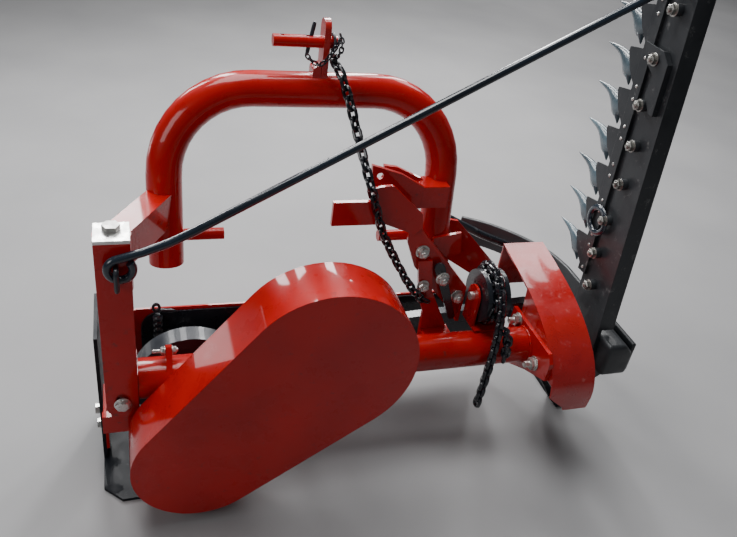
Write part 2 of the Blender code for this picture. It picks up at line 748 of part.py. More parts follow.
def make_hitch_arm():
    """The foot box under the right leg, its rear face plate and the flat arm running down in front."""
    half = HOOP_RADIUS
    top = HOOP_RIGHT_FOOT_Z - GAP
    y = leg_y(HOOP_RIGHT_FOOT_Z)
    rear = y - half
    item = box("hitch_arm", (HOOP_RIGHT_X - half, rear, top - 0.052),
               (HOOP_RIGHT_X + half, y + half, top), "red", "hitch")
    face = [(HOOP_RIGHT_X - half + 0.016, top - 0.035), (HOOP_RIGHT_X + half + 0.020, top - 0.024),
            (HOOP_RIGHT_X + half + 0.012, top + 0.021), (HOOP_RIGHT_X - half + 0.016, top + 0.012)]
    tool = plate("tool", face, "Y", rear - 0.005, rear + 0.001)
    boolean(item, tool, "UNION")
    front = y + half
    arm = [(HOOP_RIGHT_X + half - 0.012, top + 0.020), (HOOP_RIGHT_X + half + 0.030, top + 0.012),
           (HOOP_RIGHT_X + 0.175, 0.292), (HOOP_RIGHT_X + 0.150, 0.262),
           (HOOP_RIGHT_X + half - 0.012, top - 0.050)]
    tool = plate("tool", arm, "Y", front - 0.006, front + 0.0005)
    boolean(item, tool, "UNION")
    boolean(item, hoop_cutter(), "DIFFERENCE")


def make_lower_pins():
    """Round pins that point inwards from the hoop's feet."""
    left_y = leg_y(LEFT_PIN_Z)
    start = HOOP_LEFT_X + HOOP_RADIUS * 0.5
    tip = HOOP_LEFT_X + HOOP_RADIUS + LEFT_PIN_REACH
    pin = solid_profile([(LOWER_PIN_RADIUS, start), (LOWER_PIN_RADIUS, tip)])
    left = turned("lower_pin_left", pin, "X", (left_y, LEFT_PIN_Z), "red", "hitch", steps=20)
    boolean(left, hoop_cutter(), "DIFFERENCE")
    start = HOOP_RIGHT_X - HOOP_RADIUS - GAP
    pin = solid_profile([(LOWER_PIN_RADIUS, start - RIGHT_PIN_REACH), (LOWER_PIN_RADIUS, start)])
    turned("lower_pin_right", pin, "X", (RIGHT_PIN_Y, RIGHT_PIN_Z), "red", "hitch", steps=20)


def hoop_cutter():
    points = [hoop_point(x, z) for x, z in hoop_line()]
    return sweep("tool", points, HOOP_RADIUS + GAP, steps=32)


def make_link_clevis():
    """A long rear plate and a shorter front plate on the right leg's inner side, joined at the leg."""
    left = CLEVIS_TIP_X
    top = CLEVIS_TOP_Z
    rear = CLEVIS_REAR_Y
    front = rear + CLEVIS_PLATE + CLEVIS_SPACE
    near = [(left, top), (left + 0.004, top - 0.036), (left + 0.045, top - 0.070),
            (left + 0.098, top - 0.085), (left + 0.098, top - 0.042), (left + 0.056, top - 0.018)]
    item = plate("link_clevis", near, "Y", rear, rear + CLEVIS_PLATE, "red", "hitch")
    block = box("tool", (left + 0.084, rear + 0.0005, top - 0.084),
                (HOOP_RIGHT_X, leg_y(top - 0.060) - 0.004, top - 0.043))
    boolean(item, block, "UNION")
    far = [(left + 0.032, top - 0.015), (left + 0.034, top - 0.045), (left + 0.060, top - 0.070),
           (left + 0.110, top - 0.083), (left + 0.110, top - 0.044), (left + 0.056, top - 0.019)]
    tool = plate("tool", far, "Y", front, front + CLEVIS_PLATE)
    boolean(item, tool, "UNION")
    drill(item, "Y", (left + 0.016, top - 0.020), CLEVIS_HOLE_RADIUS, rear - 0.01, rear + CLEVIS_PLATE + 0.01)
    boolean(item, hoop_cutter(), "DIFFERENCE")


def make_top_link():
    """The upright tab on the hoop, its pin and the linchpin through the pin's tail."""
    half = TAB_WIDTH / 2
    pin_z = HOOP_TOP_Z + TAB_PIN_HEIGHT
    outline = [(HOOP_TOP_Y - half, HOOP_TOP_Z), (HOOP_TOP_Y + half, HOOP_TOP_Z)]
    outline += arc((HOOP_TOP_Y, pin_z + TAB_RISE - half), half, 0, 180, 16)
    tab = plate("top_link_tab", outline, "X", TAB_X, TAB_X + TAB_THICK, "red", "hitch")
    bar = sweep("tool", [(TAB_X - 0.05, HOOP_TOP_Y, HOOP_TOP_Z), (TAB_X + 0.05, HOOP_TOP_Y, HOOP_TOP_Z)],
                HOOP_RADIUS + GAP, steps=32)
    boolean(tab, bar, "DIFFERENCE")
    drill(tab, "X", (HOOP_TOP_Y, pin_z), TOP_PIN_RADIUS + GAP, TAB_X - 0.01, TAB_X + TAB_THICK + 0.01)
    tail = TAB_X + TAB_THICK + TOP_PIN_TAIL
    tip = tail - TOP_PIN_LENGTH
    pin = turned("top_link_pin", solid_profile([(TOP_PIN_RADIUS, tip), (TOP_PIN_RADIUS, tail)]), "X",
                 (HOOP_TOP_Y, pin_z), "red", "hitch", steps=20)
    drill(pin, "Z", (LINCHPIN_X, HOOP_TOP_Y), LINCHPIN_RADIUS + GAP, pin_z - 0.02, pin_z + 0.02, steps=12)
    hole_x = tip + 0.014
    drill(pin, "Z", (hole_x, HOOP_TOP_Y), LINCHPIN_RADIUS, pin_z - 0.02, pin_z + 0.02, steps=12)
    steps = [(LINCHPIN_RADIUS, pin_z - 0.026), (LINCHPIN_RADIUS, pin_z + 0.012),
             (LINCHPIN_RADIUS * 1.8, pin_z + 0.014), (LINCHPIN_RADIUS * 1.8, pin_z + 0.030)]
    turned("linchpin", solid_profile(steps), "Z", (LINCHPIN_X, HOOP_TOP_Y), "steel", "hitch", steps=12)


def guard_outline(inset):
    small = GUARD_SMALL_RADIUS - inset
    large = GUARD_LARGE_RADIUS - inset
    return capsule((CRANK_X, CRANK_Z), small, (PTO_X, PTO_Z), large, 32)


def make_belt_guard():
    """A deep cover with a closed rear face, open to the front, on a flat back plate."""
    item = plate("belt_guard", guard_outline(0.0), "Y", GUARD_REAR_Y, GUARD_FRONT_Y, "red", "frame")
    hollow = plate("tool", guard_outline(GUARD_WALL), "Y", GUARD_REAR_Y + GUARD_WALL, GUARD_FRONT_Y + 0.01)
    boolean(item, hollow, "DIFFERENCE")
    back = plate("guard_back_plate", guard_outline(0.0), "Y", BACK_PLATE_Y, BACK_PLATE_FRONT_Y, "red",
                 "frame")
    for x, z, radius in ((CRANK_X, CRANK_Z, CRANK_SHAFT_RADIUS), (PTO_X, PTO_Z, PTO_SHAFT_RADIUS)):
        drill(back, "Y", (x, z), radius + 0.004, BACK_PLATE_Y - 0.01, BACK_PLATE_FRONT_Y + 0.01, steps=32)


def pulley_profile(bore, radius):
    """A pulley with two belt grooves, from its bore out and round."""
    rear = PULLEY_REAR_Y
    front = PULLEY_FRONT_Y
    middle = (rear + front) / 2
    profile = [(bore, rear), (radius, rear)]
    for side in (-0.5, 0.5):
        centre = middle + side * GROOVE_PITCH
        profile.append((radius, centre - BELT_WIDTH / 2 - 0.001))
        profile.append((radius - GROOVE_DEPTH, centre - BELT_WIDTH / 3))
        profile.append((radius - GROOVE_DEPTH, centre + BELT_WIDTH / 3))
        profile.append((radius, centre + BELT_WIDTH / 2 + 0.001))
    profile += [(radius, front), (bore, front)]
    return profile


def make_pulleys():
    turned("small_pulley", pulley_profile(CRANK_SHAFT_RADIUS + GAP, SMALL_PULLEY_RADIUS), "Y",
           (CRANK_X, CRANK_Z), "steel", "crank", steps=32)
    turned("large_pulley", pulley_profile(PTO_SHAFT_RADIUS + GAP, LARGE_PULLEY_RADIUS), "Y",
           (PTO_X, PTO_Z), "steel", "pto", steps=40)


def make_belts():
    """Two V-belts round both pulleys, each a closed loop that clears the grooves."""
    middle = (PULLEY_REAR_Y + PULLEY_FRONT_Y) / 2
    for number, side in ((1, -0.5), (2, 0.5)):
        centre = middle + side * GROOVE_PITCH
        small = SMALL_PULLEY_RADIUS + BELT_HEIGHT * 0.35
        large = LARGE_PULLEY_RADIUS + BELT_HEIGHT * 0.35
        outer = capsule((CRANK_X, CRANK_Z), small, (PTO_X, PTO_Z), large, 20)
        inner = capsule((CRANK_X, CRANK_Z), small - BELT_HEIGHT, (PTO_X, PTO_Z), large - BELT_HEIGHT, 20)
        width = BELT_WIDTH / 2 - 0.0009
        item = plate("drive_belt_%d" % number, outer, "Y", centre - width, centre + width, "rubber", "frame")
        hole = plate("tool", inner, "Y", centre - width - 0.01, centre + width + 0.01)
        boolean(item, hole, "DIFFERENCE")


def make_shafts():
    """The crank shaft, the splined power take-off shaft and what carries them."""
    rear = PULLEY_REAR_Y - 0.002
    crank = solid_profile([(CRANK_SHAFT_RADIUS, rear), (CRANK_SHAFT_RADIUS, FLYWHEEL_REAR_Y + FLYWHEEL_WEB)])
    turned("crank_shaft", crank, "Y", (CRANK_X, CRANK_Z), "steel", "crank", steps=24)
    stub_end = HOUSING_FRONT_Y + PTO_STUB_LENGTH
    shaft = solid_profile([(PTO_SHAFT_RADIUS, rear), (PTO_SHAFT_RADIUS, HOUSING_FRONT_Y + 0.006)])
    item = turned("pto_shaft", shaft, "Y", (PTO_X, PTO_Z), "steel", "pto", steps=24)
    outline = []
    for i in range(SPLINE_COUNT * 4):
        radius = PTO_SHAFT_RADIUS - GAP - (SPLINE_DEPTH if (i // 2) % 2 else 0.0)
        angle = 2 * pi * (i + 0.5) / (SPLINE_COUNT * 4)
        outline.append((PTO_X + radius * cos(angle), PTO_Z + radius * sin(angle)))
    spline = plate("tool", outline, "Y", HOUSING_FRONT_Y, stub_end)
    boolean(item, spline, "UNION")
    carriers = (("crank", CRANK_X, CRANK_Z, CRANK_SHAFT_RADIUS, TUBE_Z - TUBE_RADIUS - GAP),
                ("pto", PTO_X, PTO_Z, PTO_SHAFT_RADIUS, TUBE_Z + TUBE_RADIUS + GAP))
    for name, x, z, shaft_radius, seat in carriers:
        bore = shaft_radius + BEARING_OUTER_GROWTH
        outer = bore + HOUSING_WALL
        profile = ring_profile(bore, outer, HOUSING_REAR_Y, HOUSING_FRONT_Y)
        housing = turned(name + "_housing", profile, "Y", (x, z), "red", "frame", steps=32)
        toward = z + outer * 0.7 * (1 if seat > z else -1)
        web = box("tool", (x - 0.024, TUBE_Y - 0.022, min(toward, seat)),
                  (x + 0.024, TUBE_Y + 0.022, max(toward, seat)))
        boolean(housing, web, "UNION")
        middle = HOUSING_FRONT_Y - BEARING_THICK / 2 - 0.004
        ring = ring_profile(shaft_radius + 0.0002, bore - GAP, middle - BEARING_THICK / 2,
                            middle + BEARING_THICK / 2)
        turned(name + "_bearing", ring, "Y", (x, z), "steel", "frame", steps=32)


def make_flywheel():
    rear = FLYWHEEL_REAR_Y
    front = rear + FLYWHEEL_THICK
    rim = FLYWHEEL_RADIUS - FLYWHEEL_RIM
    hub = 0.032
    profile = [(CRANK_SHAFT_RADIUS + GAP, rear), (hub, rear), (hub, rear + 0.010), (rim, rear + 0.010),
               (rim, rear), (FLYWHEEL_RADIUS, rear), (FLYWHEEL_RADIUS, front),
               (CRANK_SHAFT_RADIUS + GAP, front)]
    turned("flywheel", profile, "Y", (CRANK_X, CRANK_Z), "steel", "crank", steps=64)
    pin_z = CRANK_Z + CRANK_THROW
    pin_end = PITMAN_START_Y + PITMAN_THICK + 0.012
    head = pin_end - 0.009
    steps = [(CRANK_PIN_RADIUS, front + GAP), (CRANK_PIN_RADIUS, head), (CRANK_PIN_RADIUS * 1.7, head),
             (CRANK_PIN_RADIUS * 1.7, pin_end)]
    turned("crank_pin", solid_profile(steps), "Y", (CRANK_X, pin_z), "zinc", "crank", steps=20)


def make_pitman():
    """A bar from the crank pin to the knife's side, with an eye at the pin and a fork boss at its end."""
    pin = (CRANK_X, CRANK_Z + CRANK_THROW)
    end = (PITMAN_END_X, PITMAN_END_Z)
    eye = PITMAN_EYE_RADIUS
    half = PITMAN_HEIGHT / 2
    turn = degrees(atan2(end[1] - pin[1], end[0] - pin[0]))
    open_angle = degrees(asin(half / eye))
    outline = arc(pin, eye, turn + open_angle, turn + 360 - open_angle, 20)
    outline += arc(end, half * 1.3, turn - 75, turn + 75, 8)
    item = plate("pitman", outline, "Y", PITMAN_START_Y, PITMAN_START_Y + PITMAN_THICK, "black", "pitman")
    drill(item, "Y", pin, CRANK_PIN_RADIUS + PITMAN_BUSH_CLEARANCE, PITMAN_START_Y - 0.01,
          PITMAN_START_Y + PITMAN_THICK + 0.01)


def make_shield():
    """A black plate in front of the flywheel and pitman, hung from the main tube and the end plate."""
    front = SHIELD_Y + SHIELD_THICK
    right = END_PLATE_RIGHT_X
    outline = [(SHIELD_LEFT_X, SHIELD_BOTTOM_Z + 0.02), (SHIELD_LEFT_X + 0.02, SHIELD_BOTTOM_Z),
               (right, SHIELD_BOTTOM_Z), (right, SHIELD_TOP_Z)]
    outline += arc((SHIELD_LEFT_X + SHIELD_CORNER, SHIELD_TOP_Z - SHIELD_CORNER), SHIELD_CORNER, 90, 180, 6)
    item = plate("pitman_shield", outline, "Y", SHIELD_Y, front, "black", "frame")
    low = TUBE_Z + TUBE_RADIUS + GAP
    half = SHIELD_STRAP_WIDTH / 2
    left_x = SHIELD_STRAP_X - half
    right_x = SHIELD_STRAP_X + half
    strap = box("tool", (left_x, TUBE_Y - 0.010, low), (right_x, front, low + SHIELD_THICK))
    boolean(item, strap, "UNION")
    drop = box("tool", (left_x, SHIELD_Y, SHIELD_TOP_Z - 0.02), (right_x, front, low + SHIELD_THICK))
    boolean(item, drop, "UNION")
    side = [(END_PLATE_FRONT + GAP, SHIELD_ARM_LOW_Z), (SHIELD_Y + 0.001, SHIELD_ARM_LOW_Z),
            (SHIELD_Y + 0.001, SHIELD_TOP_Z - 0.02), (front, SHIELD_TOP_Z - 0.02), (front, SHIELD_ARM_TOP_Z),
            (END_PLATE_FRONT + GAP, SHIELD_ARM_TOP_Z)]
    arm = plate("tool", side, "X", right - END_PLATE_THICK, right)
    boolean(item, arm, "UNION")


def arm_line(along):
    """A point on the latch arm's centre line, from 0 at its top to 1 at its end."""
    x = ARM_TOP_X + (ARM_END_X - ARM_TOP_X) * along
    z = ARM_TOP_Z + (ARM_END_Z - ARM_TOP_Z) * along
    return (x, z)


def arm_outline(low, high, start, end):
    """Part of the arm's side, upright at both ends, between two heights about its centre line."""
    first_x, first_z = arm_line(start)
    last_x, last_z = arm_line(end)
    return [(first_x, first_z + low), (last_x, last_z + low), (last_x, last_z + high),
            (first_x, first_z + high)]


def make_latch_arm():
    """A sloping channel on a foot plate, the latch plate at its head and the flat shaft rest."""
    front = ARM_REAR_Y + ARM_DEPTH
    half = ARM_HEIGHT / 2
    web_rear = ARM_REAR_Y + FOOT_THICK - ARM_WALL
    web = arm_outline(-half, half, 0.0, 1.0)
    web[0] = (ARM_TOP_X, ARM_TOP_Z - 0.010)
    web.insert(1, (ARM_TOP_X + 0.022, ARM_TOP_Z - 0.064))
    item = plate("latch_arm", web, "Y", web_rear, web_rear + ARM_WALL, "red", "frame")
    top = plate("tool", arm_outline(half - ARM_WALL, half + 0.001, 0.01, 0.99), "Y",
                ARM_REAR_Y, front)
    boolean(item, top, "UNION")
    end = box("tool", (ARM_END_X - ARM_WALL, ARM_REAR_Y + 0.0004, ARM_END_Z - half),
              (ARM_END_X + 0.0005, front, ARM_END_Z + half + 0.0005))
    boolean(item, end, "UNION")
    x = ARM_TOP_X
    z = ARM_TOP_Z
    head = [(x - 0.077, z + 0.0785), (x - 0.079, z + 0.0995), (x - 0.050, z + 0.1035), (x - 0.043, z + 0.102),
            (x + 0.016, z + 0.0475), (x + 0.021, z + 0.020), (x + 0.006, z + 0.0065), (x - 0.014, z + 0.0165),
            (x - 0.054, z + 0.0325)]
    latch = plate("tool", head, "Y", ARM_REAR_Y - 0.004, web_rear + 0.001)
    boolean(item, latch, "UNION")
    rest = box("tool", (REST_BAR_X, ARM_REAR_Y - 0.002, REST_BAR_Z),
               (x - 0.054, ARM_REAR_Y + 0.006, REST_BAR_Z + REST_BAR_HEIGHT))
    boolean(item, rest, "UNION")
    drill(item, "Y", (LEVER_X, LEVER_Z), LEVER_PIN_RADIUS + SHEAVE_BORE_CLEARANCE, ARM_REAR_Y - 0.02,
          front + 0.01, steps=20)
    add_arm_foot(item)


def add_arm_foot(arm):
    """The foot plate behind the arm, the block that stands it on the tube."""
    front = ARM_REAR_Y + FOOT_THICK - ARM_WALL + 0.001
    rear = front - FOOT_THICK
    low = TUBE_Z - 0.012
    left = FOOT_LEFT_X
    right = FOOT_RIGHT_X
    top = FOOT_TOP_Z
    outline = [(left, low), (right, low), (right - 0.006, low + 0.030), (right - 0.048, top - 0.068),
               (right - 0.060, top), (left - 0.031, top), (left - 0.018, top - 0.070),
               (left - 0.002, low + 0.065)]
    foot = plate("tool", outline, "Y", rear, front)
    boolean(arm, foot, "UNION")
    block = box("tool", (FOOT_LEFT_X, TUBE_Y + TUBE_RADIUS + GAP, low), (FOOT_RIGHT_X, front, TUBE_Z + 0.012))
    boolean(arm, block, "UNION")


def make_latch_lever():
    """A black strap behind the foot plate, with its own pin through the arm."""
    front = ARM_REAR_Y + FOOT_THICK - ARM_WALL + 0.001 - FOOT_THICK - GAP
    lean = radians(22)
    low = (LEVER_X + LEVER_LENGTH * sin(lean), LEVER_Z - LEVER_LENGTH * cos(lean))
    high = (LEVER_X - LEVER_TOP * sin(lean), LEVER_Z + LEVER_TOP * cos(lean))
    outline = capsule(high, LEVER_WIDTH / 2, low, LEVER_WIDTH / 3, 8)
    item = plate("latch_lever", outline, "Y", front - LEVER_THICK, front, "black", "lever")
    pin = plate("tool", circle((LEVER_X, LEVER_Z), LEVER_PIN_RADIUS, 16), "Y", front - LEVER_THICK / 2,
                ARM_REAR_Y + ARM_DEPTH + 0.004)
    boolean(item, pin, "UNION")


def make_sheave():
    right = SHEAVE_LEFT_X + SHEAVE_WIDTH
    lip = 0.009
    bore = SHEAVE_BOLT_RADIUS + SHEAVE_BORE_CLEARANCE
    profile = [(bore, SHEAVE_LEFT_X), (SHEAVE_RADIUS, SHEAVE_LEFT_X), (SHEAVE_RADIUS, SHEAVE_LEFT_X + lip),
               (SHEAVE_RADIUS - SHEAVE_GROOVE, SHEAVE_LEFT_X + lip + 0.004),
               (SHEAVE_RADIUS - SHEAVE_GROOVE, right - lip - 0.004), (SHEAVE_RADIUS, right - lip),
               (SHEAVE_RADIUS, right), (bore, right)]
    turned("chain_sheave", profile, "X", (SHEAVE_Y, SHEAVE_Z), "black", "sheave", steps=32)
    left_out = SHEAVE_LEFT_X - CHEEK_GAP - CHEEK_THICK
    right_out = right + CHEEK_GAP + CHEEK_THICK
    seat = TUBE_Z + TUBE_RADIUS + GAP
    fork = box("sheave_fork", (left_out, SHEAVE_Y - CHEEK_WIDTH / 2 - 0.014, seat),
               (right_out, SHEAVE_Y + CHEEK_WIDTH / 2, seat + CHEEK_THICK), "red", "frame")
    for low in (left_out, right + CHEEK_GAP):
        half = CHEEK_WIDTH / 2
        outline = [(SHEAVE_Y - half, seat), (SHEAVE_Y + half, seat)]
        outline += arc((SHEAVE_Y, SHEAVE_Z), half, 0, 180, 12)
        cheek = plate("tool", outline, "X", low, low + CHEEK_THICK)
        boolean(fork, cheek, "UNION")
    drill(fork, "X", (SHEAVE_Y, SHEAVE_Z), SHEAVE_BOLT_RADIUS + GAP, left_out - 0.01, right_out + 0.01)
    hex_bolt("sheave_axle", "X", (SHEAVE_Y, SHEAVE_Z), SHEAVE_BOLT_RADIUS, left_out - 0.008, right_out + GAP,
             right_out + 0.010, "zinc", "frame")


def make_end_plate():
    """The flat plate on the tube's right end, its lower edge rising to the rear."""
    outline = [(END_PLATE_REAR, END_PLATE_LOW_REAR), (-0.100, 0.178), (END_PLATE_FRONT, END_PLATE_LOW_FRONT),
               (END_PLATE_FRONT, END_PLATE_TOP), (END_PLATE_REAR + 0.012, END_PLATE_TOP),
               (END_PLATE_REAR, END_PLATE_TOP - 0.015)]
    plate("end_plate", outline, "X", END_PLATE_X, END_PLATE_RIGHT_X, "red", "frame")


def right_guard_line():
    """The arched guard's outer line in side view, from its front edge over the top and down behind."""
    return smooth_points([(0.101, 0.338), (0.030, 0.326), (-0.045, 0.309), (-0.112, 0.281), (-0.165, 0.240),
                          (-0.188, 0.190), (-0.185, 0.145)], 3)


def make_right_guard():
    """An arched band over the hinge with a part wall on its left side."""
    left = END_PLATE_RIGHT_X + GAP
    right = left + RIGHT_GUARD_WIDTH
    line = right_guard_line()
    nose = (line[0][0] - GAP, RIGHT_GUARD_NOSE_Z)
    band = thick_outline([nose] + line, RIGHT_GUARD_WALL)
    item = plate("right_guard", band, "X", left, right, "red", "frame")
    wall = [(y, z) for y, z in line if y < -0.02 and z > 0.2]
    wall += [(-0.030, 0.210)]
    side = plate("tool", wall, "X", left - 0.0001, left + RIGHT_GUARD_WALL)
    boolean(item, side, "UNION")
    corner = [(left - 0.001, 0.120), (left + 0.040, 0.120), (left + 0.040, 0.150), (left - 0.001, 0.184)]
    tool = plate("tool", corner, "Y", -0.200, -0.150)
    boolean(item, tool, "DIFFERENCE")


def make_hinge_yoke():
    """A web beside the end plate with two sloping ears that hold the hinge pin."""
    left = END_PLATE_RIGHT_X + GAP + RIGHT_GUARD_WALL + GAP
    web = [(YOKE_REAR_Y, 0.186), (YOKE_FRONT_Y, 0.140), (YOKE_FRONT_Y, 0.250), (YOKE_REAR_Y, 0.250)]
    item = plate("hinge_yoke", web, "X", left, left + YOKE_EAR_THICK, "red", "frame")
    slopes = ((YOKE_REAR_Y, 0.187, 0.150), (YOKE_FRONT_Y - YOKE_EAR_THICK, 0.142, 0.122))
    for ear_y, root_z, knee_z in slopes:
        outline = [(left + 0.0005, root_z), (HINGE_X - 0.065, knee_z)]
        outline += arc((HINGE_X, HINGE_Z), HINGE_RADIUS, 195, 430, 14)
        outline += [(left + YOKE_EAR_THICK, 0.245), (left + 0.0005, 0.245)]
        ear = plate("tool", outline, "Y", ear_y + 0.0002, ear_y + YOKE_EAR_THICK - 0.0002)
        boolean(item, ear, "UNION")
    drill(item, "Y", (HINGE_X, HINGE_Z), HINGE_PIN_RADIUS + GAP, YOKE_REAR_Y - 0.01, YOKE_FRONT_Y + 0.01)
    front = YOKE_FRONT_Y + GAP + SKID_LEG_THICK + 0.008
    hex_bolt("hinge_pin", "Y", (HINGE_X, HINGE_Z), HINGE_PIN_RADIUS, front,
             YOKE_REAR_Y - GAP, YOKE_REAR_Y - 0.010, "zinc", "frame")


def make_inner_skid():
    """The foot under the hinge: a sole and the leg plate that hangs it on the hinge pin."""
    rear = YOKE_FRONT_Y + GAP
    left = INNER_SKID_LEFT_X
    right = left + INNER_SKID_WIDTH
    leg = [(left, 0.0), (right, 0.0), (right, 0.022), (HINGE_X + HINGE_RADIUS, HINGE_Z - 0.010)]
    leg += arc((HINGE_X, HINGE_Z), HINGE_RADIUS, 0, 165, 10)
    leg += [(HINGE_X - HINGE_RADIUS, HINGE_Z - 0.014)]
    item = plate("inner_skid", leg, "Y", rear, rear + SKID_LEG_THICK, "black", "frame")
    sole = box("tool", (left + 0.0003, INNER_SKID_REAR, 0.0),
               (right - 0.0003, INNER_SKID_FRONT, INNER_SKID_THICK))
    boolean(item, sole, "UNION")
    drill(item, "Y", (HINGE_X, HINGE_Z), HINGE_PIN_RADIUS + GAP, rear - 0.01, rear + 0.03)


def make_guard_stay():
    """A black rod from the arched guard's front edge towards the hoop's right leg."""
    edge_y, edge_z = right_guard_line()[0]
    y = edge_y + GUARD_STAY_RADIUS + GAP
    points = [(END_PLATE_RIGHT_X + 0.026, y, edge_z - 0.014), (END_PLATE_RIGHT_X - 0.050, y, edge_z + 0.018),
              (HOOP_RIGHT_X + 0.054, y, edge_z + 0.060)]
    sweep("guard_stay", points, GUARD_STAY_RADIUS, "black", "frame", steps=10)


def bar_rear_y(height):
    """The bar's rear edge, which tapers towards the outer end."""
    share = (height - BAR_BOTTOM_Z) / (BAR_TOP_Z - BAR_BOTTOM_Z)
    return BAR_REAR_LOW_Y + (BAR_REAR_HIGH_Y - BAR_REAR_LOW_Y) * share


def make_cutter_bar():
    """The long tapering face plate with a stiffening flange along its rear edge."""
    low = BAR_BOTTOM_Z
    high = BAR_TOP_Z
    face = [(bar_rear_y(low), low), (BAR_FRONT_Y, low), (BAR_FRONT_Y, high), (bar_rear_y(high), high)]
    item = plate("cutter_bar", face, "X", BAR_X, BAR_X + BAR_THICK, "black", "bar")
    low = FLANGE_BOTTOM_Z
    strip = [(bar_rear_y(low), low), (bar_rear_y(low) + BAR_THICK, low), (bar_rear_y(high) + BAR_THICK, high),
             (bar_rear_y(high), high)]
    flange = plate("tool", strip, "X", BAR_X, BAR_X + BAR_THICK + BAR_FLANGE)
    boolean(item, flange, "UNION")


def make_hinge_casting():
    """The knuckle on the hinge pin and the block behind the bar that also holds the shoe."""
    rear = YOKE_REAR_Y + YOKE_EAR_THICK + 0.001
    front = YOKE_FRONT_Y - YOKE_EAR_THICK - 0.001
    knuckle = HINGE_RADIUS - 0.002
    face = BAR_X + BAR_THICK + GAP
    right = CASTING_RIGHT_X - SHOE_THICK - GAP
    outline = arc((HINGE_X, HINGE_Z), knuckle, 150, 330, 10)
    outline += [(HINGE_X + 0.047, HINGE_Z + 0.018), (right - 0.012, 0.140), (right - 0.012, 0.200),
                (face, 0.200), (face, 0.176), (BAR_X - 0.008, 0.172), (HINGE_X - 0.012, 0.150)]
    item = plate("hinge_casting", outline, "Y", rear, front, "black", "bar")
    block = [(face, 0.170), (right, 0.170), (right, 0.222), (right - 0.022, 0.244), (face, 0.244)]
    tool = plate("tool", block, "Y", CASTING_REAR_Y, CASTING_FRONT_Y)
    boolean(item, tool, "UNION")
    drill(item, "Y", (HINGE_X, HINGE_Z), HINGE_PIN_RADIUS + HINGE_CLEARANCE, rear - 0.01, front + 0.01)


def make_inner_shoe():
    """The shoe's sole on the casting's outer side, with its nose curved up in use."""
    face = CASTING_RIGHT_X
    line = [(face, SHOE_REAR_Y), (face, 0.130)]
    line += smooth_points([(face, 0.150), (face - 0.013, 0.215), (face - 0.052, 0.285), (face - 0.107, 0.345),
                           (face - 0.167, 0.385)], 3)
    outline = thick_outline(line, SHOE_THICK)
    plate("inner_shoe", outline, "Z", SHOE_LOW_Z, SHOE_HIGH_Z, "black", "bar")


def lean_bar():
    """Turn the long pieces of the bar forward by its lead, about a line through the hinge."""
    turn = Matrix.Translation((0, 0, HINGE_Z)) @ Matrix.Rotation(-BAR_LEAD, 4, "X")
    turn = turn @ Matrix.Translation((0, 0, -HINGE_Z))
    for item in list(bpy.data.objects):
        on_bar = item.parent in (BODIES["bar"], BODIES["knife"]) and item.name not in LEVEL_PIECES
        if not on_bar:
            continue
        item.data.transform(turn)
        for step in item.modifiers:
            step.object.data.transform(turn)


def finger_outline(centre):
    """One horn-shaped finger in the bar's own plane, as Y and Z."""
    root = BAR_FRONT_Y + 3 * GAP
    reach = FINGER_LENGTH / 0.132
    return [(root + reach * y, centre + z) for y, z in FINGER_SHAPE]


def make_fingers():
    """Castings of several fingers side by side on a common wing behind the knife."""
    low_x = BAR_X
    for group in range(FINGER_COUNT // FINGERS_PER_CASTING):
        first = FIRST_FINGER_Z + group * FINGERS_PER_CASTING * FINGER_PITCH
        low = first - FINGER_PITCH / 2 + GAP
        high = first + (FINGERS_PER_CASTING - 0.5) * FINGER_PITCH - GAP
        root = BAR_FRONT_Y + GAP
        wing = [(root, low), (root + 0.016, low), (root + 0.016, high), (root, high)]
        item = plate("finger_casting_%d" % (group + 1), wing, "X", low_x, low_x + FINGER_WING_THICK,
                     "fang", "bar")
        for k in range(FINGERS_PER_CASTING):
            centre = first + k * FINGER_PITCH
            finger = plate("tool", finger_outline(centre), "X", low_x + GAP, low_x + FINGER_THICK)
            boolean(item, finger, "UNION")


def make_knife():
    """The knife back with its row of tapered sections, one step short of each end of its stroke."""
    low = FIRST_FINGER_Z - FINGER_PITCH / 2
    high = low + FINGER_COUNT * FINGER_PITCH - KNIFE_STROKE
    right = BAR_X - GAP
    back = [(KNIFE_BACK_Y - KNIFE_BACK_WIDTH / 2, low), (KNIFE_BACK_Y + KNIFE_BACK_WIDTH / 2, low),
            (KNIFE_BACK_Y + KNIFE_BACK_WIDTH / 2, high), (KNIFE_BACK_Y - KNIFE_BACK_WIDTH / 2, high)]
    item = plate("knife", back, "X", right - KNIFE_BACK_THICK, right, "black", "knife")
    teeth = [(KNIFE_BACK_Y, low)]
    count = int((high - low) / FINGER_PITCH + 0.5)
    for k in range(count):
        centre = low + (k + 0.5) * FINGER_PITCH
        teeth += [(BAR_FRONT_Y + y, centre + z) for y, z in SECTION_SHAPE]
    teeth.append((KNIFE_BACK_Y, high))
    blade = plate("tool", teeth, "X", right - SECTION_THICK, right - GAP)
    boolean(item, blade, "UNION")


def make_clips():
    """Hold-down clips on the bar's face that reach over the knife back."""
    rear = KNIFE_BACK_Y - KNIFE_BACK_WIDTH / 2
    for number, k in ((1, 4), (2, 9)):
        centre = FIRST_FINGER_Z + (k + 0.5) * FINGER_PITCH
        low = centre - CLIP_LENGTH / 2
        left = KNIFE_X - 2 * GAP
        outline = [(BAR_X - GAP, rear - 0.045), (BAR_X - GAP, rear - 0.003), (left, rear - 0.003),
                   (left, rear + KNIFE_BACK_WIDTH), (left - 0.005, rear + KNIFE_BACK_WIDTH),
                   (left - 0.005, rear - 0.012), (BAR_X - 0.006, rear - 0.020), (BAR_X - 0.006, rear - 0.045)]
        plate("knife_clip_%d" % number, outline, "Z", low, low + CLIP_LENGTH, "black", "bar")


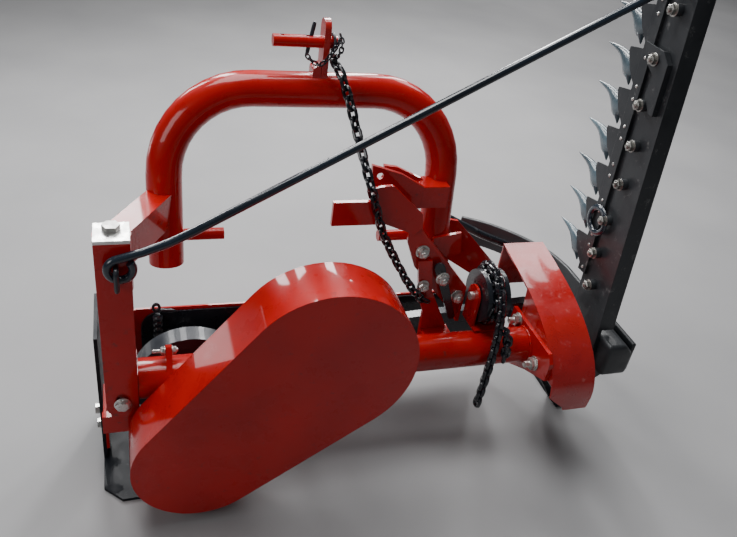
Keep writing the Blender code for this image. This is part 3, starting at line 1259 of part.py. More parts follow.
def make_outer_shoe():
    """The runner and divider at the bar's outer end."""
    low = BAR_TOP_Z + GAP
    outline = [(BAR_X + 0.001, BAR_REAR_HIGH_Y), (BAR_X + 0.034, BAR_REAR_HIGH_Y), (BAR_X + 0.046, 0.060),
               (BAR_X + 0.034, 0.150), (BAR_X - 0.010, 0.215), (BAR_X - 0.016, 0.206), (BAR_X + 0.010, 0.120),
               (BAR_X + 0.001, 0.040)]
    plate("outer_shoe", outline, "Z", low, low + OUTER_SHOE_THICK, "black", "bar")


def make_stay_rod():
    """A long rod with a closed eye round the staple, its far end resting on the bar's face."""
    eye_y = rod_eye_y()
    far = Vector((BAR_X - 0.030, ROD_END_Y - 0.002, ROD_END_Z - 0.012))
    start = Vector((ROD_EYE_X, eye_y, ROD_EYE_Z))
    turn = atan2(far.z - start.z, far.x - start.x)
    ring = []
    for i in range(20):
        angle = turn + 2 * pi * i / 20
        ring.append((ROD_EYE_X + ROD_EYE_RADIUS * cos(angle), eye_y, ROD_EYE_Z + ROD_EYE_RADIUS * sin(angle)))
    item = finish("stay_rod", ring_mesh(ring, ROD_RADIUS, 14), "black", "stay")
    root = start + Vector((cos(turn), 0.0, sin(turn))) * (ROD_EYE_RADIUS - 0.002)
    face = BAR_X - ROD_RADIUS - GAP
    points = [tuple(root), tuple(root.lerp(far, 0.33)), tuple(root.lerp(far, 0.67)), tuple(far),
              (face, ROD_END_Y, ROD_END_Z - 0.004), (face, ROD_END_Y - 0.006, ROD_END_Z + 0.010)]
    rod = sweep("tool", points, ROD_RADIUS, steps=14)
    boolean(item, rod, "UNION")


LEVEL_PIECES = ("hinge_casting", "inner_shoe")
LIFT_CHAIN_ROUTE = [
    (0.3430, 0.0960, 0.7087), (0.3445, 0.0660, 0.7041), (0.3511, 0.0550, 0.6924), (0.3597, 0.0500, 0.6701),
    (0.3651, 0.0420, 0.6544), (0.3763, 0.0250, 0.6146), (0.3865, -0.0100, 0.5718), (0.3972, -0.0245, 0.5385),
    (0.4073, -0.0245, 0.5104), (0.4286, -0.0250, 0.4543), (0.4594, -0.0260, 0.3986),
    (0.4751, -0.0268, 0.3735), (0.4908, -0.0275, 0.3485), (0.5150, -0.0290, 0.3190),
    (0.5360, -0.0243, 0.3010),
]
CHAIN_TAIL_ROUTE = [
    (0.6555, 0.0133, 0.3483), (0.6555, -0.0061, 0.3632), (0.6555, -0.0300, 0.3685), (0.6555, -0.0583, 0.3609),
    (0.6555, -0.0789, 0.3403), (0.655, -0.092, 0.315), (0.652, -0.104, 0.275), (0.648, -0.1125, 0.230),
    (0.643, -0.118, 0.185), (0.639, -0.122, 0.150), (0.636, -0.124, 0.122),
]


def make_chain(name, route, body):
    points = smooth_points(route, 2)
    curve = bpy.data.curves.new(name, "CURVE")
    curve.dimensions = "3D"
    curve.bevel_depth = CHAIN_RADIUS
    curve.bevel_resolution = 2
    curve.use_fill_caps = True
    spline = curve.splines.new("POLY")
    spline.points.add(len(points) - 1)
    for point, place in zip(spline.points, points):
        point.co = (place[0], place[1], place[2], 1.0)
    curve.materials.append(MATERIALS["black"])
    item = bpy.data.objects.new(name, curve)
    bpy.context.collection.objects.link(item)
    item.parent = BODIES[body]
    item.matrix_parent_inverse = Matrix.Translation(-BODIES[body].location)


def make_bodies():
    make_body("frame", (0, 0, 0))
    make_body("hitch", (POST_CENTRE_X, SLEEVE_Y, SLEEVE_BOTTOM_Z))
    make_body("lever", (LEVER_X, ARM_REAR_Y, LEVER_Z))
    make_body("pto", (PTO_X, PULLEY_REAR_Y, PTO_Z))
    make_body("crank", (CRANK_X, PULLEY_REAR_Y, CRANK_Z))
    make_body("pitman", (CRANK_X, PITMAN_START_Y, CRANK_Z + CRANK_THROW))
    make_body("sheave", (SHEAVE_LEFT_X, SHEAVE_Y, SHEAVE_Z))
    make_body("stay", (ROD_EYE_X, rod_eye_y(), ROD_EYE_Z))
    make_body("bar", (HINGE_X, YOKE_REAR_Y, HINGE_Z))
    make_body("knife", (KNIFE_X, KNIFE_BACK_Y, FIRST_FINGER_Z))


def build():
    clear_scene()
    for name in PAINTS:
        MATERIALS[name] = make_material(name)
    make_bodies()
    make_left_skid()
    make_main_tube()
    make_frame_bracket()
    make_post()
    make_staple()
    make_hoop()
    make_hitch_brace()
    make_hitch_arm()
    make_lower_pins()
    make_link_clevis()
    make_top_link()
    make_belt_guard()
    make_pulleys()
    make_belts()
    make_shafts()
    make_flywheel()
    make_pitman()
    make_shield()
    make_latch_arm()
    make_latch_lever()
    make_sheave()
    make_end_plate()
    make_right_guard()
    make_hinge_yoke()
    make_inner_skid()
    make_guard_stay()
    make_cutter_bar()
    make_hinge_casting()
    make_inner_shoe()
    make_fingers()
    make_knife()
    make_clips()
    make_outer_shoe()
    lean_bar()
    make_stay_rod()
    make_chain("lift_chain", LIFT_CHAIN_ROUTE, "frame")
    make_chain("chain_tail", CHAIN_TAIL_ROUTE, "frame")


build()
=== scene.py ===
"""Looks of the sickle bar mower: camera, chains, fasteners, welds and procedural materials.

Everything is in metres in the frame of the CAD model.
"""
import json
from math import cos, pi, radians, sin

import bpy
import bmesh
from mathutils import Matrix, Vector


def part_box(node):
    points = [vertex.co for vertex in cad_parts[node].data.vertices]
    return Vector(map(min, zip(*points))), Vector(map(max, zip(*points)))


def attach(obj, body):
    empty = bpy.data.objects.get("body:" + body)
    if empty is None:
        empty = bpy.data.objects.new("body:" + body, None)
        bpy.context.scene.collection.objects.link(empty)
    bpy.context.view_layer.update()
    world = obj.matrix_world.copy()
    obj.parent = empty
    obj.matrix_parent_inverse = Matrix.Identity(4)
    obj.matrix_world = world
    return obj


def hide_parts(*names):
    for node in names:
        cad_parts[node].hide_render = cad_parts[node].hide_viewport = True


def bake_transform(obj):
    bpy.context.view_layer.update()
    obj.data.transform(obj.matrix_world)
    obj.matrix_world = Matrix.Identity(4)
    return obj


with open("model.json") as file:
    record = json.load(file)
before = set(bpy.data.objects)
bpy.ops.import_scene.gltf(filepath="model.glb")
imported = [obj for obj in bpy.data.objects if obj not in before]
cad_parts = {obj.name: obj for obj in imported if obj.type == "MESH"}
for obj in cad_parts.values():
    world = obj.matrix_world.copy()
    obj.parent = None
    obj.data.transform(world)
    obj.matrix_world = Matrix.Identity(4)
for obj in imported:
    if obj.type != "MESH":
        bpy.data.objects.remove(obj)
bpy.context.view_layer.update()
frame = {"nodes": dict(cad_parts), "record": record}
NODES = frame["nodes"]

# Directions, axis numbers, and the gap between a piece and the solid that it sits on
ALONG_X = Vector((1.0, 0.0, 0.0))
ALONG_Y = Vector((0.0, 1.0, 0.0))
ALONG_Z = Vector((0.0, 0.0, 1.0))
AXIS_X = 0
AXIS_Y = 1
AXIS_Z = 2
SEAT_GAP = 0.0004

# Camera, solved from the photograph's edges
PHOTO_WIDTH = 737.0
FOCAL_PIXELS = 739.3071
SENSOR_WIDTH = 36.0
CAMERA_YAW = 0.36958547
CAMERA_PITCH = 0.58328631
CAMERA_ROLL = -0.15720958
CAMERA_PLACE = Vector((0.0279, -1.0188, 1.0861))

# Cross tube, hoop and chain sheave
TUBE_Y = -0.069
TUBE_Z = 0.217
HOOP_RADIUS = 0.0285
HOOP_TOP_Z = 0.656
SHEAVE_Y = -0.030
SHEAVE_Z = 0.312

# Cutter bar, upright before it leans forward by its lead
HINGE_X = 0.8600
HINGE_Z = 0.100
BAR_LEAD = radians(3.5)
BAR_X = 0.8776
BAR_FRONT_Y = -0.010
KNIFE_THICK = 0.006
KNIFE_GAP = 0.0003

# Chain links: outer length, outer width and the wire's radius
BIG_LINK = (0.0285, 0.0190, 0.0030)
TAIL_LINK = (0.0275, 0.0195, 0.0038)
SMALL_LINK = (0.0125, 0.0085, 0.0013)
LINK_END_STEPS = 6
LINK_WIRE_SIDES = 8

# Chain routes, and how many steps a smooth curve takes between two of their points
SPAN_STEPS = 6
LIFT_CHAIN_ROUTE = [
    (0.3430, 0.0960, 0.7087), (0.3445, 0.0660, 0.7041), (0.3511, 0.0550, 0.6924), (0.3597, 0.0500, 0.6701),
    (0.3651, 0.0420, 0.6544), (0.3763, 0.0250, 0.6146), (0.3865, -0.0100, 0.5718), (0.3972, -0.0245, 0.5385),
    (0.4073, -0.0245, 0.5104), (0.4286, -0.0250, 0.4543), (0.4594, -0.0260, 0.3986),
    (0.4751, -0.0268, 0.3735), (0.4908, -0.0275, 0.3485), (0.5150, -0.0290, 0.3190),
    (0.5360, -0.0243, 0.3010),
]
CHAIN_TAIL_ROUTE = [
    (0.6555, 0.0133, 0.3483), (0.6555, -0.0061, 0.3632), (0.6555, -0.0300, 0.3685), (0.6555, -0.0583, 0.3609),
    (0.6555, -0.0789, 0.3403), (0.655, -0.092, 0.315), (0.652, -0.104, 0.275), (0.648, -0.1125, 0.230),
    (0.643, -0.118, 0.185), (0.639, -0.122, 0.150), (0.636, -0.124, 0.122),
]
SHORT_CHAIN_ROUTE = [
    (0.6560, -0.1010, 0.2850), (0.6680, -0.1060, 0.2790), (0.6720, -0.1100, 0.2660),
    (0.6731, -0.1130, 0.2440), (0.6731, -0.1140, 0.2164),
]
TETHER_ROUTE = [
    (0.2970, 0.0800, 0.7173), (0.3028, 0.0720, 0.7125), (0.3096, 0.0690, 0.7083), (0.3167, 0.0680, 0.7065),
    (0.3273, 0.0690, 0.7144), (0.3364, 0.0720, 0.7262), (0.3442, 0.0760, 0.7369), (0.3497, 0.0820, 0.7437),
]
TETHER_LOOP = [
    (0.3480, 0.0830, 0.7510), (0.3500, 0.0740, 0.7410), (0.3490, 0.0720, 0.7270), (0.3450, 0.0780, 0.7170),
    (0.3410, 0.0880, 0.7110),
]

# Chain wound on the sheave: the radius of its turns, and each turn's X and first angle
WOUND_RADIUS = 0.0478
WOUND_STEPS = 60
WOUND_TURNS = ((0.6478, 0.0), (0.6632, 0.7))

# Linchpin: X and height of its ends about the top pin's axis, and its sections' share of the
# length, half width and half thickness
LINCHPIN_FOOT = (0.3005, -0.0225)
LINCHPIN_HEAD = (0.3095, 0.0305)
LINCHPIN_SECTIONS = ((0.0, 0.0016, 0.0010), (0.04, 0.0028, 0.0016), (0.20, 0.0033, 0.0018),
                     (0.86, 0.0034, 0.0018), (0.96, 0.0030, 0.0017), (1.0, 0.0016, 0.0010))

# Ring on the tail of the top pin
PIN_RING_INSET = 0.0065
PIN_RING_RADIUS = 0.0124
PIN_RING_WIRE = 0.0024

# Foot that is welded beside the top tab
TAB_FOOT_REACH = 0.0135
TAB_FOOT_BOTTOM_Z = 0.6790
TAB_FOOT_TOP_Z = 0.7000
TAB_FOOT_REAR_INSET = 0.001
TAB_FOOT_FRONT_INSET = 0.002

# Stay rod: the eye at the post, between two angles in degrees, and the rod out to its bent tip
STAY_EYE = Vector((0.0085, -0.1134, 0.4660))
STAY_EYE_RADIUS = 0.0175
STAY_EYE_START = 372.0
STAY_EYE_END = 90.0
STAY_ROD_RADIUS = 0.0065
STAY_STEPS = 24
STAY_RISE_SHARE = 0.125
STAY_FAR = Vector((0.8476, 0.0020, 0.8720))
STAY_TIP = (Vector((0.8708, 0.0040, 0.8800)), Vector((0.8708, -0.0020, 0.8940)))

# Nuts and bolts: turned profiles are pairs of radius and distance along the axis
WASHER_THICK = 0.0019
PIVOT_HEAD_ROOM = 0.0082
PIVOT_WASHER = ((0.0128, 0.0), (0.0135, 0.0004), (0.0135, 0.0012), (0.0126, 0.0016))
PIVOT_HEAD = ((0.0108, 0.0016), (0.0118, 0.0024), (0.0118, 0.0062), (0.0098, 0.0078))
PIVOT_SHANK_RADIUS = 0.0094
SPACER = ((0.0100, 0.0), (0.0100, 0.0105), (0.0090, 0.0120))
SPACER_SEAT = 0.0115
RIVET = ((0.0032, -0.0005), (0.0030, 0.0008), (0.0018, 0.0018), (0.0004, 0.0021))
LUG_BOLT = ((0.0024, 0.0), (0.0030, 0.0012), (0.0030, 0.0400), (0.0024, 0.0412))

# Places of the nuts on the latch side, the end plate, the tube's lug and the skid
BAR_STUD = 0.0048
ARM_STUD = 0.0058
ARM_NUTS = ((0.5157, -0.0080, 0.4014), (0.6045, -0.0080, 0.2970))
FOOT_STUD = 0.0052
FOOT_NUT = (0.5265, -0.0150, 0.3315)
END_PLATE_STUD = 0.0062
END_PLATE_NUTS = ((0.7353, -0.036, 0.250), (0.7353, -0.123, 0.214))
LEVER_NUT = (0.560, -0.0203, 0.349)
LUG_BOLT_X = 0.0480
LUG_LEFT_X = 0.0688
LUG_RIGHT_X = 0.0792
LUG_BOLT_Z = 0.2725
LUG_STUD = 0.0034
SKID_STUD = 0.0050
SKID_NUTS = ((-0.0296, -0.023, 0.114), (-0.0296, -0.005, 0.060))

# Fingers, which stand a pitch apart in castings of four
FINGER_PITCH = 0.0725
FIRST_FINGER_Z = 0.366
FINGER_COUNT = 16
FINGERS_PER_CASTING = 4
FINGER_X = BAR_X + 0.0096
CASTING_GAP = 0.0005
ROOT_WIDTH = 0.010
ROOT_DEPTH = 0.016
ROOT_CHAMFER = 0.0012
ROOT_TAPER = 0.0015
HORN_SIDES = 12
HORN_FLATNESS = 0.78
# A horn's sections from root to point: reach, rise, half height and half width
HORN_SECTIONS = (
    (0.002, -0.001, 0.0150, 0.0080), (0.020, 0.000, 0.0140, 0.0085), (0.033, 0.0005, 0.0140, 0.0088),
    (0.044, -0.0030, 0.0205, 0.0092), (0.054, -0.0035, 0.0245, 0.0092), (0.063, -0.0015, 0.0225, 0.0088),
    (0.072, 0.0055, 0.0160, 0.0078), (0.084, 0.0117, 0.0100, 0.0064), (0.097, 0.0143, 0.0068, 0.0050),
    (0.110, 0.0155, 0.0046, 0.0036), (0.122, 0.0162, 0.0024, 0.0022), (0.1305, 0.0166, 0.0008, 0.0009),
)
# A spike's sections: reach, rise and radius
SPIKE_SIDES = 8
SPIKE_SECTIONS = ((0.050, -0.0200, 0.0075), (0.0475, -0.0270, 0.0048), (0.0445, -0.0330, 0.0026),
                  (0.0432, -0.0365, 0.0010))

# Y and Z of the nuts along the bar, which zigzag, and the rivets' heights on a knife section
BAR_BOLTS = ((-0.0510, 0.3225), (-0.0378, 0.3862), (-0.0392, 0.4566), (-0.0512, 0.5355), (-0.0517, 0.6088),
             (-0.0397, 0.6783), (-0.0411, 0.7574), (-0.0517, 0.8396), (-0.0510, 0.9120), (-0.0400, 0.9845),
             (-0.0400, 1.0570), (-0.0510, 1.1295), (-0.0510, 1.2020), (-0.0400, 1.2745), (-0.0400, 1.3470),
             (-0.0510, 1.4195))
RIVET_RISES = (-0.0262, 0.0236)
RIVET_REACH = 0.0006

# Knife clips: Y and Z of the lower one's outline, the step to the upper one, and its faces' X
CLIP_OUTLINE = ((0.0348, 0.7783), (-0.0160, 0.7768), (-0.0354, 0.7604), (-0.0415, 0.6747), (-0.0287, 0.6764),
                (-0.0062, 0.6994), (-0.0092, 0.7338), (0.0212, 0.7504))
CLIP_STEP = (0.0221, 0.3618)
CLIP_LEFT_X = 0.8668
CLIP_RIGHT_X = 0.8706
CLIP_FOOT_X = 0.8773

# Clamp round the knife's head
CLAMP_PLACE = Vector((0.8668, 0.0030, 0.4470))
CLAMP_RADIUS = 0.0245
CLAMP_THICK = 0.0062
CLAMP_WIDE = 0.0042

# Red plate in front of the pitman shield
FRONT_PLATE_REACH = 0.019
FRONT_PLATE_FOOT = 0.010
FRONT_PLATE_TOP_Z = 0.2270
FRONT_PLATE_THICK = 0.004

# Buffer on the pitman shield
BUFFER_X = 0.0640
BUFFER_DEPTH = 0.013
BUFFER_FOOT_Z = 0.176
BUFFER_LOBES = 4
BUFFER_PITCH = 0.0125
BUFFER_LOBE = ((0.0060, 0.0), (0.0092, 0.0022), (0.0092, 0.0070), (0.0060, 0.0092), (0.0050, 0.0125))
BUFFER_EYE = Vector((-0.002, 0.004, 0.2390))
BUFFER_EYE_RADIUS = 0.0056
BUFFER_EYE_STRETCH = 1.35
BUFFER_EYE_WIRE = 0.0026
BUFFER_STRAP_START = Vector((0.006, 0.0, -0.006))
BUFFER_STRAP_END = Vector((0.034, 0.004, -0.013))
BUFFER_STRAP_RADIUS = 0.0036

# Hinge casting: the rounded block that carries the shoe, the knuckle and its web
BLOCK_OFFSET = 0.0083
BLOCK_BOTTOM_Z = 0.170
BLOCK_TOP_Z = 0.244
BLOCK_CUT = 0.022
BLOCK_ROUNDING = 0.0085
KNUCKLE_RADIUS = 0.024
WEB_REAR_Y = -0.092
WEB_FRONT_Y = -0.033
WEB_INSET = 0.012

# Weld beads: the radius, steps or degrees of their paths, and the radius of the beads
TAB_WELD_START = 38
TAB_WELD_SWEEP = 104
TAB_WELD_STEPS = 14
TAB_WELD_RISE = 0.0005
HOOP_FOOT = (0.558, 0.0513, 0.4007)
HOOP_FOOT_WELD = 0.0288
HOOP_FOOT_STEPS = 40
HOOP_FOOT_BEAD = 0.0024
TUBE_WELD = 0.0345
TUBE_WELD_STANDOFF = 0.0006
TUBE_WELD_STEPS = 48
TUBE_BEAD = 0.0026

# Enamels
PAINTS = {
    "red": dict(name="red_enamel", colour=(0.50, 0.0065, 0.0045), shade=(0.37, 0.0040, 0.0034),
                worn=(0.16, 0.02, 0.018), roughness=0.30, coat=0.60, speckle=0.06, shine=0.12),
    "red_rough": dict(name="red_enamel_sprayed", colour=(0.47, 0.0080, 0.0060), shade=(0.31, 0.0045, 0.0045),
                      worn=(0.45, 0.10, 0.09), roughness=0.30, coat=1.0, speckle=0.50, haze=0.10),
    "black": dict(name="black_enamel", colour=(0.013, 0.017, 0.024), shade=(0.007, 0.009, 0.013),
                  worn=(0.08, 0.085, 0.09), roughness=0.30, coat=0.45, speckle=0.16),
    "skid": dict(name="worn_black_sole", colour=(0.010, 0.013, 0.018), shade=(0.006, 0.007, 0.010),
                 worn=(0.06, 0.065, 0.07), roughness=0.55, coat=0.04, speckle=0.25, shine=0.15),
    "rod": dict(name="blue_black_enamel", colour=(0.010, 0.020, 0.034), shade=(0.005, 0.009, 0.016),
                worn=(0.13, 0.14, 0.15), roughness=0.22, coat=0.85, speckle=0.05),
    "bar": dict(name="charcoal_plate", colour=(0.030, 0.033, 0.037), shade=(0.014, 0.016, 0.019),
                worn=(0.12, 0.12, 0.12), roughness=0.42, coat=0.15, speckle=0.22),
    "chain": dict(name="black_chain", colour=(0.010, 0.012, 0.018), shade=(0.004, 0.005, 0.008),
                  worn=(0.20, 0.20, 0.21), roughness=0.22, coat=0.6, speckle=0.05, radius=0.0004),
    "dark_steel": dict(name="dark_grey_iron", colour=(0.040, 0.046, 0.058), shade=(0.018, 0.021, 0.027),
                       worn=(0.16, 0.16, 0.17), roughness=0.40, coat=0.15, speckle=0.20),
    "fang": dict(name="finger_paint", colour=(0.105, 0.155, 0.185), shade=(0.040, 0.058, 0.070),
                 worn=(0.42, 0.48, 0.50), roughness=0.25, coat=0.5, speckle=0.30),
}

# Bare and plated metals
METALS = {
    "zinc": dict(name="zinc_plate", bright=(0.76, 0.75, 0.72), dull=(0.55, 0.54, 0.52), roughness=0.28,
                 stain=(0.30, 0.27, 0.23), grain=900.0),
    # The cap's metal is a lighter, less stained copy of the zinc above: painted sheen of its flat top
    "cap": dict(name="zinc_plate_painted_sheen", bright=(0.86, 0.86, 0.84), dull=(0.74, 0.74, 0.72), roughness=0.32,
                stain=(0.52, 0.50, 0.46), grain=600.0),
    "steel": dict(name="machined_steel", bright=(0.46, 0.45, 0.44), dull=(0.25, 0.24, 0.23), roughness=0.36,
                  stain=(0.10, 0.07, 0.05), grain=700.0),
    "dull_bolt": dict(name="oiled_bolt", bright=(0.42, 0.41, 0.38), dull=(0.20, 0.20, 0.19), roughness=0.30,
                      stain=(0.06, 0.05, 0.045), grain=800.0),
}

# CAD nodes whose finish isn't simply that of their material slot
NODE_PAINTS = {
    "cutter_bar": "bar", "hinge_casting": "bar", "inner_shoe": "bar", "knife": "bar", "outer_shoe": "bar",
    "knife_clip_1": "bar", "knife_clip_2": "bar", "right_guard": "red_rough", "top_link_tab": "red_rough",
    "flywheel": "dark_steel", "linchpin": "dark_steel", "left_skid": "skid", "inner_skid": "skid",
    "post_cap": "cap", "breakaway_bolt": "steel",
}

# Smoothing of the CAD nodes
CORNER_GAP = 0.00002
SHARP_ANGLE = radians(32)
FLAT_ANGLE = radians(0.8)
WIDE_CURVES = ("belt_guard", "right_guard", "flywheel", "chain_sheave")
ROUNDED_NODES = {"inner_shoe": 0.003, "outer_shoe": 0.003}

# Studio lights: name, place, target, length of both sides and power
LIGHTS = (
    ("key", (1.05, 2.1, 2.0), (0.35, 0.0, 0.4), 0.30, 1.7, 48.0),
    ("key_beside", (1.60, 1.9, 2.0), (0.35, 0.0, 0.4), 0.20, 1.7, 26.0),
    ("strip_high", (-0.05, 1.60, 1.78), (0.26, -0.15, 0.45), 0.30, 0.9, 22.0),
    ("strip_left", (-0.60, 1.58, 1.50), (0.25, -0.15, 0.44), 0.22, 0.9, 13.0),
    ("low_left", (-1.49, 1.62, 0.20), (0.12, -0.16, 0.30), 0.55, 0.36, 2.2),
    ("sky_right", (1.85, 1.12, 1.92), (0.77, 0.04, 0.33), 0.70, 0.70, 10.0),
    ("top", (0.1, 0.5, 2.9), (0.4, 0.2, 0.3), 1.6, 1.6, 70.0),
    ("side", (-1.9, -1.2, 1.6), (0.3, 0.0, 0.3), 1.2, 1.2, 18.0),
)
FAR_LIGHT_PLACE = (2.6, 3.4, 3.0)
FAR_LIGHT_SIZE = 2.6
FAR_LIGHT_POWER = 44.0
FAR_LIGHT_SPREAD = radians(100)
WORLD_COLOUR = (0.80, 0.82, 0.85, 1.0)
WORLD_STRENGTH = 0.15

# Floor
FLOOR_HALF = 30.0
FLOOR_Z = -0.0002
FLOOR_DARK = (0.258, 0.257, 0.262)
FLOOR_PALE = (0.302, 0.299, 0.303)


def make_camera():
    """The camera at the photograph's viewing angle."""
    right = Vector((cos(CAMERA_YAW), -sin(CAMERA_YAW), 0.0))
    level = Vector((sin(CAMERA_YAW), cos(CAMERA_YAW), 0.0))
    ahead = level * cos(CAMERA_PITCH) - ALONG_Z * sin(CAMERA_PITCH)
    down = ahead.cross(right)
    right_rolled = right * cos(CAMERA_ROLL) + down * sin(CAMERA_ROLL)
    up_rolled = right * sin(CAMERA_ROLL) - down * cos(CAMERA_ROLL)
    axes = Matrix((right_rolled, up_rolled, -ahead)).transposed()
    data = bpy.data.cameras.new("camera")
    data.sensor_fit = "HORIZONTAL"
    data.sensor_width = SENSOR_WIDTH
    data.lens = FOCAL_PIXELS / PHOTO_WIDTH * SENSOR_WIDTH
    data.clip_start = 0.01
    camera = bpy.data.objects.new("camera", data)
    camera.matrix_world = Matrix.Translation(CAMERA_PLACE) @ axes.to_4x4()
    bpy.context.collection.objects.link(camera)
    bpy.context.scene.camera = camera


class Graph:
    """A small helper that builds one node material."""

    def __init__(self, name):
        self.material = bpy.data.materials.new(name)
        self.material.use_nodes = True
        self.tree = self.material.node_tree
        self.shader = self.tree.nodes["Principled BSDF"]
        self.coords = self.tree.nodes.new("ShaderNodeTexCoord").outputs["Object"]

    def link(self, source, target):
        self.tree.links.new(source, target)

    def noise(self, scale, detail=3.0, roughness=0.5, stretch=None):
        """Noise on the object's own coordinates, which may be stretched."""
        node = self.tree.nodes.new("ShaderNodeTexNoise")
        node.inputs["Scale"].default_value = scale
        node.inputs["Detail"].default_value = detail
        node.inputs["Roughness"].default_value = roughness
        source = self.coords
        if stretch:
            mapping = self.tree.nodes.new("ShaderNodeMapping")
            mapping.inputs["Scale"].default_value = stretch
            self.link(self.coords, mapping.inputs["Vector"])
            source = mapping.outputs["Vector"]
        self.link(source, node.inputs["Vector"])
        return node.outputs["Fac"]

    def ramp(self, source, low, high, low_value=0.0, high_value=1.0):
        """Map a value from one range to another."""
        node = self.tree.nodes.new("ShaderNodeMapRange")
        node.inputs["From Min"].default_value = low
        node.inputs["From Max"].default_value = high
        node.inputs["To Min"].default_value = low_value
        node.inputs["To Max"].default_value = high_value
        self.link(source, node.inputs["Value"])
        return node.outputs["Result"]

    def mix(self, factor, first, second):
        """Blend two colours, each of them plain or a socket."""
        node = self.tree.nodes.new("ShaderNodeMix")
        node.data_type = "RGBA"
        sockets = [entry for entry in node.inputs if entry.type == "RGBA"]
        for socket, value in zip(sockets, (first, second)):
            if isinstance(value, tuple):
                socket.default_value = (*value, 1.0)
            else:
                self.link(value, socket)
        self.link(factor, node.inputs["Factor"])
        return [entry for entry in node.outputs if entry.type == "RGBA"][0]

    def edges(self, low, high):
        """Where the surface bends sharply outward."""
        node = self.tree.nodes.new("ShaderNodeNewGeometry")
        return self.ramp(node.outputs["Pointiness"], low, high)

    def times(self, first, second):
        node = self.tree.nodes.new("ShaderNodeMath")
        node.operation = "MULTIPLY"
        self.link(first, node.inputs[0])
        self.link(second, node.inputs[1])
        return node.outputs[0]

    def bump(self, source, strength, distance, before=None):
        """Relief from a value, on top of another normal where one is given."""
        node = self.tree.nodes.new("ShaderNodeBump")
        node.inputs["Strength"].default_value = strength
        node.inputs["Distance"].default_value = distance
        self.link(source, node.inputs["Height"])
        if before:
            self.link(before, node.inputs["Normal"])
        return node.outputs["Normal"]

    def rounded(self, radius):
        """Edges that look rounded."""
        node = self.tree.nodes.new("ShaderNodeBevel")
        node.samples = 4
        node.inputs["Radius"].default_value = radius
        return node.outputs["Normal"]


def make_paint(name, colour, shade, worn, roughness, coat, speckle, radius=0.0012, shine=0.35, haze=0.04):
    """Enamel with slow colour changes, a fine and a wavy texture, and thin wear along edges."""
    g = Graph(name)
    slow = g.ramp(g.noise(scale=7.0, detail=4.0), 0.35, 0.68)
    body = g.mix(slow, shade, colour)
    spots = g.ramp(g.noise(scale=55.0, detail=6.0, roughness=0.7), 0.60, 0.72)
    wear = g.times(g.edges(0.53, 0.60), spots)
    g.link(g.mix(wear, body, worn), g.shader.inputs["Base Color"])
    cloud = g.noise(scale=28.0, detail=5.0, roughness=0.6)
    g.link(g.ramp(cloud, 0.35, 0.70, roughness * 0.75, roughness * 1.45), g.shader.inputs["Roughness"])
    skin = g.bump(g.noise(scale=240.0, detail=2.0), speckle, 0.0006, g.rounded(radius))
    wave = g.bump(g.noise(scale=34.0, detail=2.0), speckle * 0.8, 0.0012, skin)
    g.link(wave, g.shader.inputs["Normal"])
    g.shader.inputs["Coat Weight"].default_value = coat
    g.shader.inputs["Coat Roughness"].default_value = haze
    g.shader.inputs["Specular IOR Level"].default_value = shine
    return g.material


def make_metal(name, bright, dull, roughness, stain, grain, radius=0.0008):
    """Bare or plated metal with stains and a fine grain."""
    g = Graph(name)
    patches = g.ramp(g.noise(scale=36.0, detail=5.0, roughness=0.6), 0.35, 0.66)
    body = g.mix(patches, bright, dull)
    spots = g.ramp(g.noise(scale=120.0, detail=4.0, roughness=0.7), 0.58, 0.70)
    g.link(g.mix(spots, body, stain), g.shader.inputs["Base Color"])
    cloud = g.noise(scale=70.0, detail=4.0)
    g.link(g.ramp(cloud, 0.3, 0.7, roughness * 0.7, roughness * 1.5), g.shader.inputs["Roughness"])
    lines = g.noise(scale=grain, detail=3.0, roughness=0.6, stretch=(1.0, 6.0, 1.0))
    g.link(g.bump(lines, 0.12, 0.0004, g.rounded(radius)), g.shader.inputs["Normal"])
    g.shader.inputs["Metallic"].default_value = 0.9
    return g.material


def make_rubber():
    """The belts' rubber."""
    g = Graph("belt_rubber")
    shade = g.ramp(g.noise(scale=40.0, detail=5.0), 0.3, 0.7)
    g.link(g.mix(shade, (0.012, 0.012, 0.012), (0.035, 0.034, 0.033)), g.shader.inputs["Base Color"])
    g.link(g.bump(g.noise(scale=300.0, detail=3.0), 0.3, 0.0004), g.shader.inputs["Normal"])
    g.shader.inputs["Roughness"].default_value = 0.75
    return g.material


def make_materials():
    table = {key: make_paint(**values) for key, values in PAINTS.items()}
    for key, values in METALS.items():
        table[key] = make_metal(**values)
    table["rubber"] = make_rubber()
    return table


def dress_nodes():
    """Give every CAD node its material."""
    slots = {entry["node"]: entry["material_slot"] for entry in frame["record"]["subparts"]}
    for name, item in NODES.items():
        item.data.materials.clear()
        item.data.materials.append(MATERIALS[NODE_PAINTS.get(name, slots[name])])


